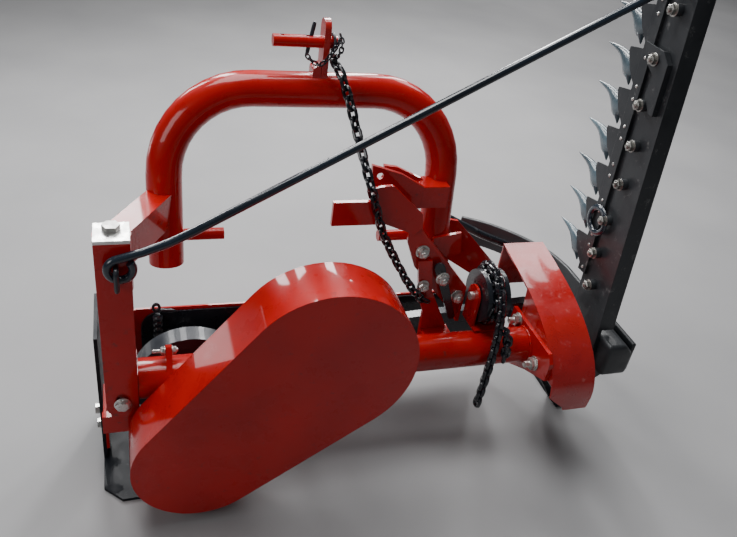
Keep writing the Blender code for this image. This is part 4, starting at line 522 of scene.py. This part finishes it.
def make_smoothing():
    """A node group that joins a mesh's split corners and shades it smooth, but for sharp edges."""
    tree = bpy.data.node_groups.new("smooth_by_angle", "GeometryNodeTree")
    tree.interface.new_socket("Geometry", in_out="INPUT", socket_type="NodeSocketGeometry")
    tree.interface.new_socket("Geometry", in_out="OUTPUT", socket_type="NodeSocketGeometry")
    source = tree.nodes.new("NodeGroupInput")
    joined = tree.nodes.new("GeometryNodeMergeByDistance")
    joined.inputs["Distance"].default_value = CORNER_GAP
    plain = tree.nodes.new("GeometryNodeRemoveAttribute")
    plain.inputs["Name"].default_value = "custom_normal"
    faces = tree.nodes.new("GeometryNodeSetShadeSmooth")
    faces.domain = "FACE"
    faces.inputs["Shade Smooth"].default_value = True
    angle = tree.nodes.new("GeometryNodeInputMeshEdgeAngle")
    sharp = tree.nodes.new("FunctionNodeCompare")
    sharp.data_type = "FLOAT"
    sharp.operation = "GREATER_THAN"
    sharp.inputs[1].default_value = SHARP_ANGLE
    edges = tree.nodes.new("GeometryNodeSetShadeSmooth")
    edges.domain = "EDGE"
    edges.inputs["Shade Smooth"].default_value = False
    target = tree.nodes.new("NodeGroupOutput")
    tree.links.new(source.outputs[0], joined.inputs["Geometry"])
    tree.links.new(joined.outputs["Geometry"], plain.inputs["Geometry"])
    tree.links.new(plain.outputs["Geometry"], faces.inputs["Geometry"])
    tree.links.new(faces.outputs["Geometry"], edges.inputs["Geometry"])
    tree.links.new(angle.outputs["Unsigned Angle"], sharp.inputs[0])
    tree.links.new(sharp.outputs["Result"], edges.inputs["Selection"])
    tree.links.new(edges.outputs["Geometry"], target.inputs[0])
    return tree


def join_faces(item):
    """Join a node's split corners and the triangles of each flat face."""
    weld = item.modifiers.new("weld", "WELD")
    weld.merge_threshold = CORNER_GAP
    flat = item.modifiers.new("flat", "DECIMATE")
    flat.decimate_type = "DISSOLVE"
    flat.angle_limit = FLAT_ANGLE


def round_edges(item, width):
    """Round a node's sharp edges."""
    bevel = item.modifiers.new("rounded", "BEVEL")
    bevel.width = width
    bevel.segments = 3
    bevel.limit_method = "ANGLE"
    bevel.angle_limit = radians(40)


def smooth_nodes():
    """Shade the CAD nodes smooth through one shared node group, and round the shoes' edges."""
    tree = make_smoothing()
    for name, item in NODES.items():
        if name in ROUNDED_NODES or name in WIDE_CURVES:
            join_faces(item)
        if name in ROUNDED_NODES:
            round_edges(item, ROUNDED_NODES[name])
        step = item.modifiers.new("smooth", "NODES")
        step.node_group = tree


def finish_piece(name, mesh, paint, body, smooth=40):
    """Turn a bmesh into a piece that rides on a body, or on none where no body is given."""
    bmesh.ops.recalc_face_normals(mesh, faces=mesh.faces)
    data = bpy.data.meshes.new(name)
    mesh.to_mesh(data)
    mesh.free()
    data.shade_smooth()
    data.set_sharp_from_angle(angle=radians(smooth))
    data.materials.append(MATERIALS[paint])
    item = bpy.data.objects.new(name, data)
    bpy.context.collection.objects.link(item)
    if body:
        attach(item, body)
    return item


def lean(point):
    """Turn a point of the upright bar forward by its lead, about the hinge's height."""
    x, y, z = point
    rise = z - HINGE_Z
    forward = y * cos(BAR_LEAD) + rise * sin(BAR_LEAD)
    return Vector((x, forward, rise * cos(BAR_LEAD) - y * sin(BAR_LEAD) + HINGE_Z))


def frame_about(direction):
    """Two unit directions square to a direction and to each other."""
    side = direction.orthogonal().normalized()
    return side, direction.cross(side).normalized()


def oval(centre, first, second, steps):
    """Points round an oval whose half axes are the two vectors."""
    turns = [2 * pi * k / steps for k in range(steps)]
    return [centre + first * cos(turn) + second * sin(turn) for turn in turns]


def round_path(centre, first_axis, second_axis, radius, steps, start=0.0):
    """Points once round a centre in the plane of two axes, with the first point again at the end.

    The sums are in plain floats, because a bead's rings turn with the last digits of its path.
    """
    points = []
    for i in range(steps + 1):
        angle = 2 * pi * i / steps + start
        place = list(centre)
        place[first_axis] += radius * cos(angle)
        place[second_axis] += radius * sin(angle)
        points.append(Vector(place))
    return points


def add_rings(mesh, rings, closed=False):
    """Join rings of points to a tube, with flat ends unless it closes on itself."""
    made = [[mesh.verts.new(point) for point in ring] for ring in rings]
    count = len(made[0])
    last = len(made) if closed else len(made) - 1
    for i in range(last):
        one = made[i]
        two = made[(i + 1) % len(made)]
        for k in range(count):
            j = (k + 1) % count
            mesh.faces.new((one[k], one[j], two[j], two[k]))
    if not closed:
        mesh.faces.new(made[0])
        mesh.faces.new(made[-1])


def add_plate(mesh, outline, axis, low, high):
    """A plate between two values of X or Y, whose outline is in the two other directions."""
    if axis == "X":
        rings = [[Vector((at, a, b)) for a, b in outline] for at in (low, high)]
    else:
        rings = [[Vector((a, at, b)) for a, b in outline] for at in (low, high)]
    add_rings(mesh, rings)


def add_turned(mesh, origin, direction, profile, steps=16):
    """Turn pairs of radius and distance about an axis that starts at origin."""
    origin = Vector(origin)
    side, other = frame_about(direction)
    add_rings(mesh, [oval(origin + direction * along, side * radius, other * radius, steps)
                     for radius, along in profile])


def add_eye(mesh, centre, first, second, radius, thick, across, steps=28, sides=10):
    """A closed ring in the plane of first and second, of wire with half axes thick and across."""
    rings = []
    for i in range(steps):
        angle = 2 * pi * i / steps
        out = first * cos(angle) + second * sin(angle)
        rings.append(oval(centre + out * radius, out * thick, across, sides))
    add_rings(mesh, rings, closed=True)


def direction_at(points, i):
    """The direction of a path at one of its points."""
    after = points[min(i + 1, len(points) - 1)]
    return (after - points[max(i - 1, 0)]).normalized()


def add_tube(mesh, points, radius, steps=20):
    """A round wire along points, without a twist."""
    rings = []
    side = direction_at(points, 0).orthogonal()
    for i, place in enumerate(points):
        direction = direction_at(points, i)
        side = (side - direction * side.dot(direction)).normalized()
        rings.append(oval(place, side * radius, direction.cross(side) * radius, steps))
    add_rings(mesh, rings)


def add_bead(mesh, points, radius=0.0028):
    """A weld bead: a lumpy rod along points."""
    rings = []
    for i, place in enumerate(points):
        side, other = frame_about(direction_at(points, i))
        size = radius * (1.0 + 0.18 * sin(i * 2.1) + 0.10 * sin(i * 5.3 + 1.0))
        if i in (0, len(points) - 1):
            size *= 0.4
        rings.append(oval(place, side * size, other * size, 8))
    add_rings(mesh, rings)


def add_bolt(mesh, origin, direction, radius, stud=0.004):
    """A washer, a hexagon nut with chamfered corners and the end of its stud."""
    flat = radius * 1.85
    top = WASHER_THICK + radius * 1.6
    washer = ((flat * 1.18, 0.0), (flat * 1.25, 0.0005), (flat * 1.25, 0.0014), (flat * 1.12, WASHER_THICK))
    nut = ((flat * 0.95, WASHER_THICK), (flat * 1.04, WASHER_THICK + 0.0012), (flat * 1.04, top - 0.0014),
           (flat * 0.86, top))
    end = ((radius, top - 0.001), (radius, top + stud - 0.001), (radius * 0.72, top + stud))
    add_turned(mesh, origin, direction, washer, 20)
    add_turned(mesh, origin, direction, nut, 6)
    add_turned(mesh, origin, direction, end, 14)


def smooth_points(points, per_span):
    """Points on a smooth curve through the given points."""
    result = []
    count = len(points)
    for i in range(count - 1):
        p0 = Vector(points[max(i - 1, 0)])
        p1 = Vector(points[i])
        p2 = Vector(points[i + 1])
        p3 = Vector(points[min(i + 2, count - 1)])
        for k in range(per_span):
            t = k / per_span
            a = 2 * p1
            b = (p2 - p0) * t
            c = (2 * p0 - 5 * p1 + 4 * p2 - p3) * t * t
            d = (3 * p1 - 3 * p2 + p3 - p0) * t * t * t
            result.append((a + b + c + d) * 0.5)
    result.append(Vector(points[-1]))
    return result


def path_length(points):
    return sum((points[i + 1] - points[i]).length for i in range(len(points) - 1))


def along_path(points, distance):
    """The point and direction at a distance along a path."""
    left = distance
    for i in range(len(points) - 1):
        step = points[i + 1] - points[i]
        if left <= step.length or i == len(points) - 2:
            return points[i] + step.normalized() * left, step.normalized()
        left -= step.length


def straight(first, last, steps):
    return [first.lerp(last, i / steps) for i in range(steps + 1)]


def add_link(mesh, centre, direction, side, link):
    """One welded link: a closed round wire along a long oval."""
    length, width, wire = link
    radius = width / 2 - wire
    half = length / 2 - wire - radius
    normal = direction.cross(side)
    rings = []
    for sign, first in ((1, -90), (-1, 90)):
        for i in range(LINK_END_STEPS + 1):
            angle = radians(first + 180 * i / LINK_END_STEPS)
            out = direction * cos(angle) + side * sin(angle)
            place = centre + direction * half * sign + out * radius
            rings.append(oval(place, out * wire, normal * wire, LINK_WIRE_SIDES))
    add_rings(mesh, rings, closed=True)


def add_chain(mesh, points, twist=0.6, link=BIG_LINK):
    """Links hooked through one another along a path, each turned from the one before."""
    pitch = link[0] - 4 * link[2]
    count = int(path_length(points) / pitch + 0.15)
    side = None
    for i in range(count):
        place, direction = along_path(points, (i + 0.5) * pitch)
        if side is None:
            side = direction.orthogonal().normalized()
            side = Matrix.Rotation(twist, 3, direction) @ side
        side = (side - direction * side.dot(direction)).normalized()
        add_link(mesh, place, direction, side, link)
        side = Matrix.Rotation(pi / 2 + 0.12 * sin(i * 2.3), 3, direction) @ side


def make_lift_links():
    """The lifting chain from the hitch down to the frame, which rides on no body."""
    mesh = bmesh.new()
    add_chain(mesh, smooth_points(LIFT_CHAIN_ROUTE, SPAN_STEPS))
    lift = finish_piece("lift_links", mesh, "chain", None)
    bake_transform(lift)
    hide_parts("lift_chain")


def make_tail_links():
    """The tail that hangs from the sheave, and the short strand beside it."""
    mesh = bmesh.new()
    points = smooth_points(CHAIN_TAIL_ROUTE, SPAN_STEPS)
    add_chain(mesh, points, 0.3, TAIL_LINK)
    tail = finish_piece("tail_links", mesh, "chain", "frame")
    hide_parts("chain_tail")
    mesh = bmesh.new()
    add_chain(mesh, smooth_points(SHORT_CHAIN_ROUTE, SPAN_STEPS), 0.9, TAIL_LINK)
    short = finish_piece("short_links", mesh, "chain", "frame")


def make_wound_links():
    """The turns of chain that are wound on the sheave."""
    mesh = bmesh.new()
    for x, start in WOUND_TURNS:
        turn = round_path((x, SHEAVE_Y, SHEAVE_Z), AXIS_Y, AXIS_Z, WOUND_RADIUS, WOUND_STEPS, start)
        add_chain(mesh, turn, pi / 4)
    finish_piece("wound_links", mesh, "chain", "sheave")


def make_tether_links():
    """The thin chain that holds the linchpin to the top pin's ring and tab."""
    mesh = bmesh.new()
    add_chain(mesh, smooth_points(TETHER_ROUTE, SPAN_STEPS), 0.4, SMALL_LINK)
    add_chain(mesh, smooth_points(TETHER_LOOP, SPAN_STEPS), 0.9, SMALL_LINK)
    finish_piece("tether_links", mesh, "chain", "hitch")


def make_linchpin():
    """A flat blade with rounded ends through the top pin, and the ring on the pin's tail."""
    low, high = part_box("top_link_pin")
    middle = (low + high) / 2
    foot = Vector((LINCHPIN_FOOT[0], middle.y, middle.z + LINCHPIN_FOOT[1]))
    head = Vector((LINCHPIN_HEAD[0], middle.y, middle.z + LINCHPIN_HEAD[1]))
    axis = (head - foot).normalized()
    across = Vector((axis.z, 0.0, -axis.x))
    mesh = bmesh.new()
    add_rings(mesh, [oval(foot.lerp(head, share), across * half, ALONG_Y * thick, 16)
                     for share, half, thick in LINCHPIN_SECTIONS])
    item = finish_piece("linchpin_blade", mesh, "dark_steel", "hitch")
    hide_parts("linchpin")
    mesh = bmesh.new()
    centre = Vector((high.x - PIN_RING_INSET, middle.y, middle.z))
    add_eye(mesh, centre, ALONG_Y, ALONG_Z, PIN_RING_RADIUS, PIN_RING_WIRE, ALONG_X * PIN_RING_WIRE)
    finish_piece("tether_ring", mesh, "dark_steel", "hitch")


def make_tab_foot():
    """The short foot that is welded beside the top tab."""
    low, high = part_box("top_link_tab")
    left = low.x - TAB_FOOT_REACH
    right = low.x - SEAT_GAP
    outline = [(left, TAB_FOOT_BOTTOM_Z), (right, TAB_FOOT_BOTTOM_Z), (right, TAB_FOOT_TOP_Z),
               (left + 0.005, TAB_FOOT_TOP_Z - 0.0015), (left, TAB_FOOT_TOP_Z - 0.0065)]
    mesh = bmesh.new()
    add_plate(mesh, outline, "Y", low.y + TAB_FOOT_REAR_INSET, high.y - TAB_FOOT_FRONT_INSET)
    finish_piece("tab_foot", mesh, "red_rough", "hitch")


def make_stay_rod():
    """The stay rod, whose end is bent round to an eye that runs into the rod at its top."""
    line = STAY_FAR - STAY_EYE
    flat = Vector((line.x, 0.0, line.z)).normalized()
    up = Vector((-flat.z, 0.0, flat.x))
    points = []
    for i in range(STAY_STEPS + 1):
        angle = radians(STAY_EYE_START + (STAY_EYE_END - STAY_EYE_START) * i / STAY_STEPS)
        points.append(STAY_EYE + (flat * cos(angle) + up * sin(angle)) * STAY_EYE_RADIUS)
    for i in range(1, STAY_STEPS + 1):
        share = i / STAY_STEPS
        rise = STAY_EYE_RADIUS * max(0.0, 1.0 - share / STAY_RISE_SHARE) ** 2
        points.append(STAY_EYE + line * share + up * rise)
    bend = smooth_points([points[-2], points[-1], STAY_TIP[0], STAY_TIP[1]], SPAN_STEPS)
    points += bend[SPAN_STEPS + 1:]
    mesh = bmesh.new()
    add_tube(mesh, points, STAY_ROD_RADIUS)
    item = finish_piece("bent_stay_rod", mesh, "rod", "stay")
    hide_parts("stay_rod")


def make_pivot_bolt():
    """A hexagon bolt with its washer, through the foot of the post."""
    low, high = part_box("pivot_bolt")
    seat = Vector(((low.x + high.x) / 2, low.y + PIVOT_HEAD_ROOM, (low.z + high.z) / 2))
    shank = ((PIVOT_SHANK_RADIUS, -0.001), (PIVOT_SHANK_RADIUS, high.y - seat.y))
    mesh = bmesh.new()
    add_turned(mesh, seat, -ALONG_Y, PIVOT_WASHER, 24)
    add_turned(mesh, seat, -ALONG_Y, PIVOT_HEAD, 6)
    add_turned(mesh, seat, ALONG_Y, shank, 24)
    item = finish_piece("post_bolt", mesh, "zinc", "frame")
    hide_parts("pivot_bolt")


def add_finger_root(mesh, low, high):
    """The strip along the bar that a casting's fingers grow from, with chamfered ends."""
    rings = []
    for z, inset in ((low, ROOT_CHAMFER), (low + ROOT_TAPER, 0.0), (high - ROOT_TAPER, 0.0),
                     (high, ROOT_CHAMFER)):
        left = BAR_X + inset
        right = BAR_X + ROOT_WIDTH - inset
        rear = BAR_FRONT_Y + SEAT_GAP + inset
        front = BAR_FRONT_Y + SEAT_GAP + ROOT_DEPTH - inset
        corners = ((left, rear), (right, rear), (right, front), (left, front))
        rings.append([lean((x, y, z)) for x, y in corners])
    add_rings(mesh, rings)


def add_horn(mesh, centre):
    """One finger: a horn that is flatter on top, from its root to its point."""
    rings = []
    for reach, rise, half, wide in HORN_SECTIONS:
        ring = []
        for i in range(HORN_SIDES):
            angle = 2 * pi * i / HORN_SIDES
            flat = HORN_FLATNESS if sin(angle) > 0 else 1.0
            ring.append(lean((FINGER_X + wide * cos(angle), BAR_FRONT_Y + reach,
                              centre + rise + half * sin(angle) * flat)))
        rings.append(ring)
    add_rings(mesh, rings)


def add_spike(mesh, centre):
    """The small spike under a finger's swell."""
    rings = []
    for reach, rise, radius in SPIKE_SECTIONS:
        middle = Vector((FINGER_X, BAR_FRONT_Y + reach, centre + rise))
        rings.append([lean(point) for point in oval(middle, ALONG_X * radius, ALONG_Y * radius, SPIKE_SIDES)])
    add_rings(mesh, rings)


def make_fingers():
    """The finger castings: a root strip with horn-shaped fingers and their spikes."""
    for group in range(FINGER_COUNT // FINGERS_PER_CASTING):
        mesh = bmesh.new()
        first = FIRST_FINGER_Z + group * FINGERS_PER_CASTING * FINGER_PITCH
        low = first - FINGER_PITCH / 2 + CASTING_GAP
        high = first + (FINGERS_PER_CASTING - 0.5) * FINGER_PITCH - CASTING_GAP
        add_finger_root(mesh, low, high)
        for k in range(FINGERS_PER_CASTING):
            add_horn(mesh, first + k * FINGER_PITCH)
            add_spike(mesh, first + k * FINGER_PITCH)
        item = finish_piece("fingers_%d" % (group + 1), mesh, "fang", "bar", smooth=60)
        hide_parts("finger_casting_%d" % (group + 1))


def make_bar_bolts():
    """Nuts on spacers along the bar's face."""
    nuts = bmesh.new()
    spacers = bmesh.new()
    for y, z in BAR_BOLTS:
        origin = lean((BAR_X, y, z))
        add_turned(spacers, origin, -ALONG_X, SPACER, 18)
        add_bolt(nuts, origin - ALONG_X * SPACER_SEAT, -ALONG_X, BAR_STUD, stud=0.003)
    finish_piece("bar_nuts", nuts, "dull_bolt", "bar")
    finish_piece("bar_spacers", spacers, "bar", "bar")


def make_rivets():
    """Two rivets on each section of the knife."""
    mesh = bmesh.new()
    face = BAR_X - KNIFE_GAP - KNIFE_THICK
    for k in range(FINGER_COUNT - 1):
        centre = FIRST_FINGER_Z + k * FINGER_PITCH
        for rise in RIVET_RISES:
            origin = lean((face, BAR_FRONT_Y - RIVET_REACH, centre + rise))
            add_turned(mesh, origin, -ALONG_X, RIVET, 10)
    finish_piece("section_rivets", mesh, "zinc", "knife")


def make_clips():
    """The long plates that hold the knife down, each with a foot on the bar."""
    for k in range(2):
        mesh = bmesh.new()
        outline = [(y + CLIP_STEP[0] * k, z + CLIP_STEP[1] * k) for y, z in CLIP_OUTLINE]
        add_plate(mesh, outline, "X", CLIP_LEFT_X, CLIP_RIGHT_X)
        add_plate(mesh, outline[1:5], "X", CLIP_RIGHT_X, CLIP_FOOT_X)
        item = finish_piece("clip_plate_%d" % (k + 1), mesh, "bar", "bar", 30)
        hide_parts("knife_clip_%d" % (k + 1))


def make_head_clamp():
    """The clamp round the knife's head."""
    mesh = bmesh.new()
    add_eye(mesh, CLAMP_PLACE, ALONG_Y, ALONG_Z, CLAMP_RADIUS, CLAMP_THICK, ALONG_X * CLAMP_WIDE)
    finish_piece("knife_head_clamp", mesh, "rod", "bar")


def make_casting():
    """The hinge's knuckle and web, and the rounded block that carries the shoe."""
    low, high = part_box("hinge_casting")
    face = BAR_X + BLOCK_OFFSET
    web = high.x - WEB_INSET
    block = [(face, BLOCK_BOTTOM_Z), (high.x, BLOCK_BOTTOM_Z), (high.x, BLOCK_TOP_Z - BLOCK_CUT),
             (high.x - BLOCK_CUT, BLOCK_TOP_Z), (face, BLOCK_TOP_Z)]
    mesh = bmesh.new()
    add_plate(mesh, block, "Y", low.y, high.y)
    bmesh.ops.bevel(mesh, geom=mesh.edges[:], offset=BLOCK_ROUNDING, offset_type="OFFSET", segments=4,
                    profile=0.5, affect="EDGES")
    outline = []
    for i in range(17):
        angle = radians(150 + 180 * i / 16)
        outline.append((HINGE_X + KNUCKLE_RADIUS * cos(angle), HINGE_Z + KNUCKLE_RADIUS * sin(angle)))
    outline += [(HINGE_X + 0.047, HINGE_Z + 0.018), (web, 0.140), (web, 0.200), (face, 0.200), (face, 0.176),
                (BAR_X - 0.008, 0.172), (HINGE_X - 0.012, 0.150)]
    add_plate(mesh, outline, "Y", WEB_REAR_Y, WEB_FRONT_Y)
    item = finish_piece("hinge_knuckle", mesh, "bar", "bar", 32)
    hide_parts("hinge_casting")


def make_frame_bolts():
    """Nuts with washers on the latch arm, its foot and the end plate, and on the latch lever."""
    mesh = bmesh.new()
    for place in ARM_NUTS:
        add_bolt(mesh, place, -ALONG_Y, ARM_STUD)
    add_bolt(mesh, FOOT_NUT, -ALONG_Y, FOOT_STUD)
    for place in END_PLATE_NUTS:
        add_bolt(mesh, place, -ALONG_X, END_PLATE_STUD, stud=0.011)
    finish_piece("frame_nuts", mesh, "zinc", "frame")
    mesh = bmesh.new()
    add_bolt(mesh, LEVER_NUT, -ALONG_Y, ARM_STUD)
    finish_piece("lever_nut", mesh, "zinc", "lever")


def make_front_plate():
    """The red plate in front of the pitman shield."""
    low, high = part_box("pitman_shield")
    left = low.x - FRONT_PLATE_REACH
    bottom = low.z + FRONT_PLATE_FOOT
    top = FRONT_PLATE_TOP_Z
    outline = [(left, bottom), (high.x, bottom), (high.x, top), (left + 0.012, top + 0.0035),
               (left, top - 0.004)]
    face = high.y + SEAT_GAP
    mesh = bmesh.new()
    add_plate(mesh, outline, "Y", face, face + FRONT_PLATE_THICK)
    finish_piece("front_plate", mesh, "red", "frame")


def make_buffer():
    """The black buffer stack on the pitman shield, with the eye and the strap above it."""
    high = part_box("pitman_shield")[1]
    base = Vector((BUFFER_X, high.y - BUFFER_DEPTH, 0.0))
    mesh = bmesh.new()
    for i in range(BUFFER_LOBES):
        foot = base + ALONG_Z * (BUFFER_FOOT_Z + i * BUFFER_PITCH)
        add_turned(mesh, foot, ALONG_Z, BUFFER_LOBE, 18)
    eye = base + BUFFER_EYE
    add_eye(mesh, eye, ALONG_X, ALONG_Z * BUFFER_EYE_STRETCH, BUFFER_EYE_RADIUS, BUFFER_EYE_WIRE,
            ALONG_Y * BUFFER_EYE_WIRE, 20, 8)
    add_bead(mesh, straight(eye + BUFFER_STRAP_START, eye + BUFFER_STRAP_END, 6), BUFFER_STRAP_RADIUS)
    finish_piece("shield_buffer", mesh, "black", "frame", smooth=50)


def make_post_bolts():
    """The bolt through the lug on the tube, and nuts on the skid's bolts behind the bracket."""
    mesh = bmesh.new()
    add_turned(mesh, (LUG_BOLT_X, TUBE_Y, LUG_BOLT_Z), ALONG_X, LUG_BOLT, 14)
    add_bolt(mesh, (LUG_LEFT_X, TUBE_Y, LUG_BOLT_Z), -ALONG_X, LUG_STUD, stud=0.001)
    add_bolt(mesh, (LUG_RIGHT_X, TUBE_Y, LUG_BOLT_Z), ALONG_X, LUG_STUD, stud=0.002)
    for place in SKID_NUTS:
        add_bolt(mesh, place, ALONG_X, SKID_STUD, stud=0.006)
    finish_piece("lug_bolts", mesh, "zinc", "frame")


def make_hitch_welds():
    """Beads over the hoop on both sides of the top tab, and round the hoop's right foot."""
    mesh = bmesh.new()
    low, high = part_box("top_link_tab")
    middle_y = (low.y + high.y) / 2
    for x in (low.x, high.x):
        points = []
        for i in range(TAB_WELD_STEPS + 1):
            angle = radians(TAB_WELD_START + TAB_WELD_SWEEP * i / TAB_WELD_STEPS)
            y = middle_y + HOOP_RADIUS * cos(angle)
            z = HOOP_TOP_Z + HOOP_RADIUS * (sin(angle) - 1.0) + TAB_WELD_RISE
            points.append(Vector((x, y, z)))
        add_bead(mesh, points)
    foot = round_path(HOOP_FOOT, AXIS_X, AXIS_Y, HOOP_FOOT_WELD, HOOP_FOOT_STEPS)
    add_bead(mesh, foot, HOOP_FOOT_BEAD)
    finish_piece("hitch_welds", mesh, "red", "hitch", smooth=70)


def make_frame_weld():
    """The bead round the cross tube at the end plate."""
    mesh = bmesh.new()
    centre = (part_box("end_plate")[0].x - TUBE_WELD_STANDOFF, TUBE_Y, TUBE_Z)
    add_bead(mesh, round_path(centre, AXIS_Y, AXIS_Z, TUBE_WELD, TUBE_WELD_STEPS), TUBE_BEAD)
    finish_piece("frame_welds", mesh, "red", "frame", smooth=70)


def add_area_light(name, place, size_x, size_y, power):
    """A rectangular light that faces down and isn't seen itself."""
    data = bpy.data.lights.new(name, "AREA")
    data.shape = "RECTANGLE"
    data.size = size_x
    data.size_y = size_y
    data.energy = power
    light = bpy.data.objects.new(name, data)
    light.location = place
    light.visible_camera = False
    bpy.context.collection.objects.link(light)
    return light


def make_lights():
    """The soft world, the studio's lights, and one with a narrow beam over the far floor."""
    world = bpy.data.worlds.new("studio")
    world.use_nodes = True
    world.node_tree.nodes["Background"].inputs["Color"].default_value = WORLD_COLOUR
    world.node_tree.nodes["Background"].inputs["Strength"].default_value = WORLD_STRENGTH
    bpy.context.scene.world = world
    for name, place, target, size_x, size_y, power in LIGHTS:
        light = add_area_light(name, place, size_x, size_y, power)
        aim = Vector(target) - Vector(place)
        light.rotation_euler = aim.to_track_quat("-Z", "Y").to_euler()
    far = add_area_light("far", FAR_LIGHT_PLACE, FAR_LIGHT_SIZE, FAR_LIGHT_SIZE, FAR_LIGHT_POWER)
    far.data.spread = FAR_LIGHT_SPREAD
    far.visible_glossy = False


def make_floor():
    """A plain pale floor."""
    mesh = bmesh.new()
    corners = ((-FLOOR_HALF, -FLOOR_HALF), (FLOOR_HALF, -FLOOR_HALF), (FLOOR_HALF, FLOOR_HALF),
               (-FLOOR_HALF, FLOOR_HALF))
    mesh.faces.new([mesh.verts.new((x, y, FLOOR_Z)) for x, y in corners])
    data = bpy.data.meshes.new("floor")
    mesh.to_mesh(data)
    mesh.free()
    g = Graph("plain_floor")
    slow = g.ramp(g.noise(scale=2.2, detail=5.0), 0.3, 0.7)
    g.link(g.mix(slow, FLOOR_DARK, FLOOR_PALE), g.shader.inputs["Base Color"])
    g.link(g.bump(g.noise(scale=60.0, detail=4.0), 0.05, 0.001), g.shader.inputs["Normal"])
    g.shader.inputs["Roughness"].default_value = 0.7
    data.materials.append(g.material)
    item = bpy.data.objects.new("floor", data)
    bpy.context.collection.objects.link(item)


MATERIALS = make_materials()
make_camera()
make_lift_links()
make_tail_links()
make_wound_links()
make_tether_links()
make_linchpin()
make_tab_foot()
make_stay_rod()
make_pivot_bolt()
dress_nodes()
smooth_nodes()
make_fingers()
make_bar_bolts()
make_rivets()
make_clips()
make_head_clamp()
make_casting()
make_frame_bolts()
make_front_plate()
make_buffer()
make_post_bolts()
make_hitch_welds()
make_frame_weld()
make_lights()
make_floor()
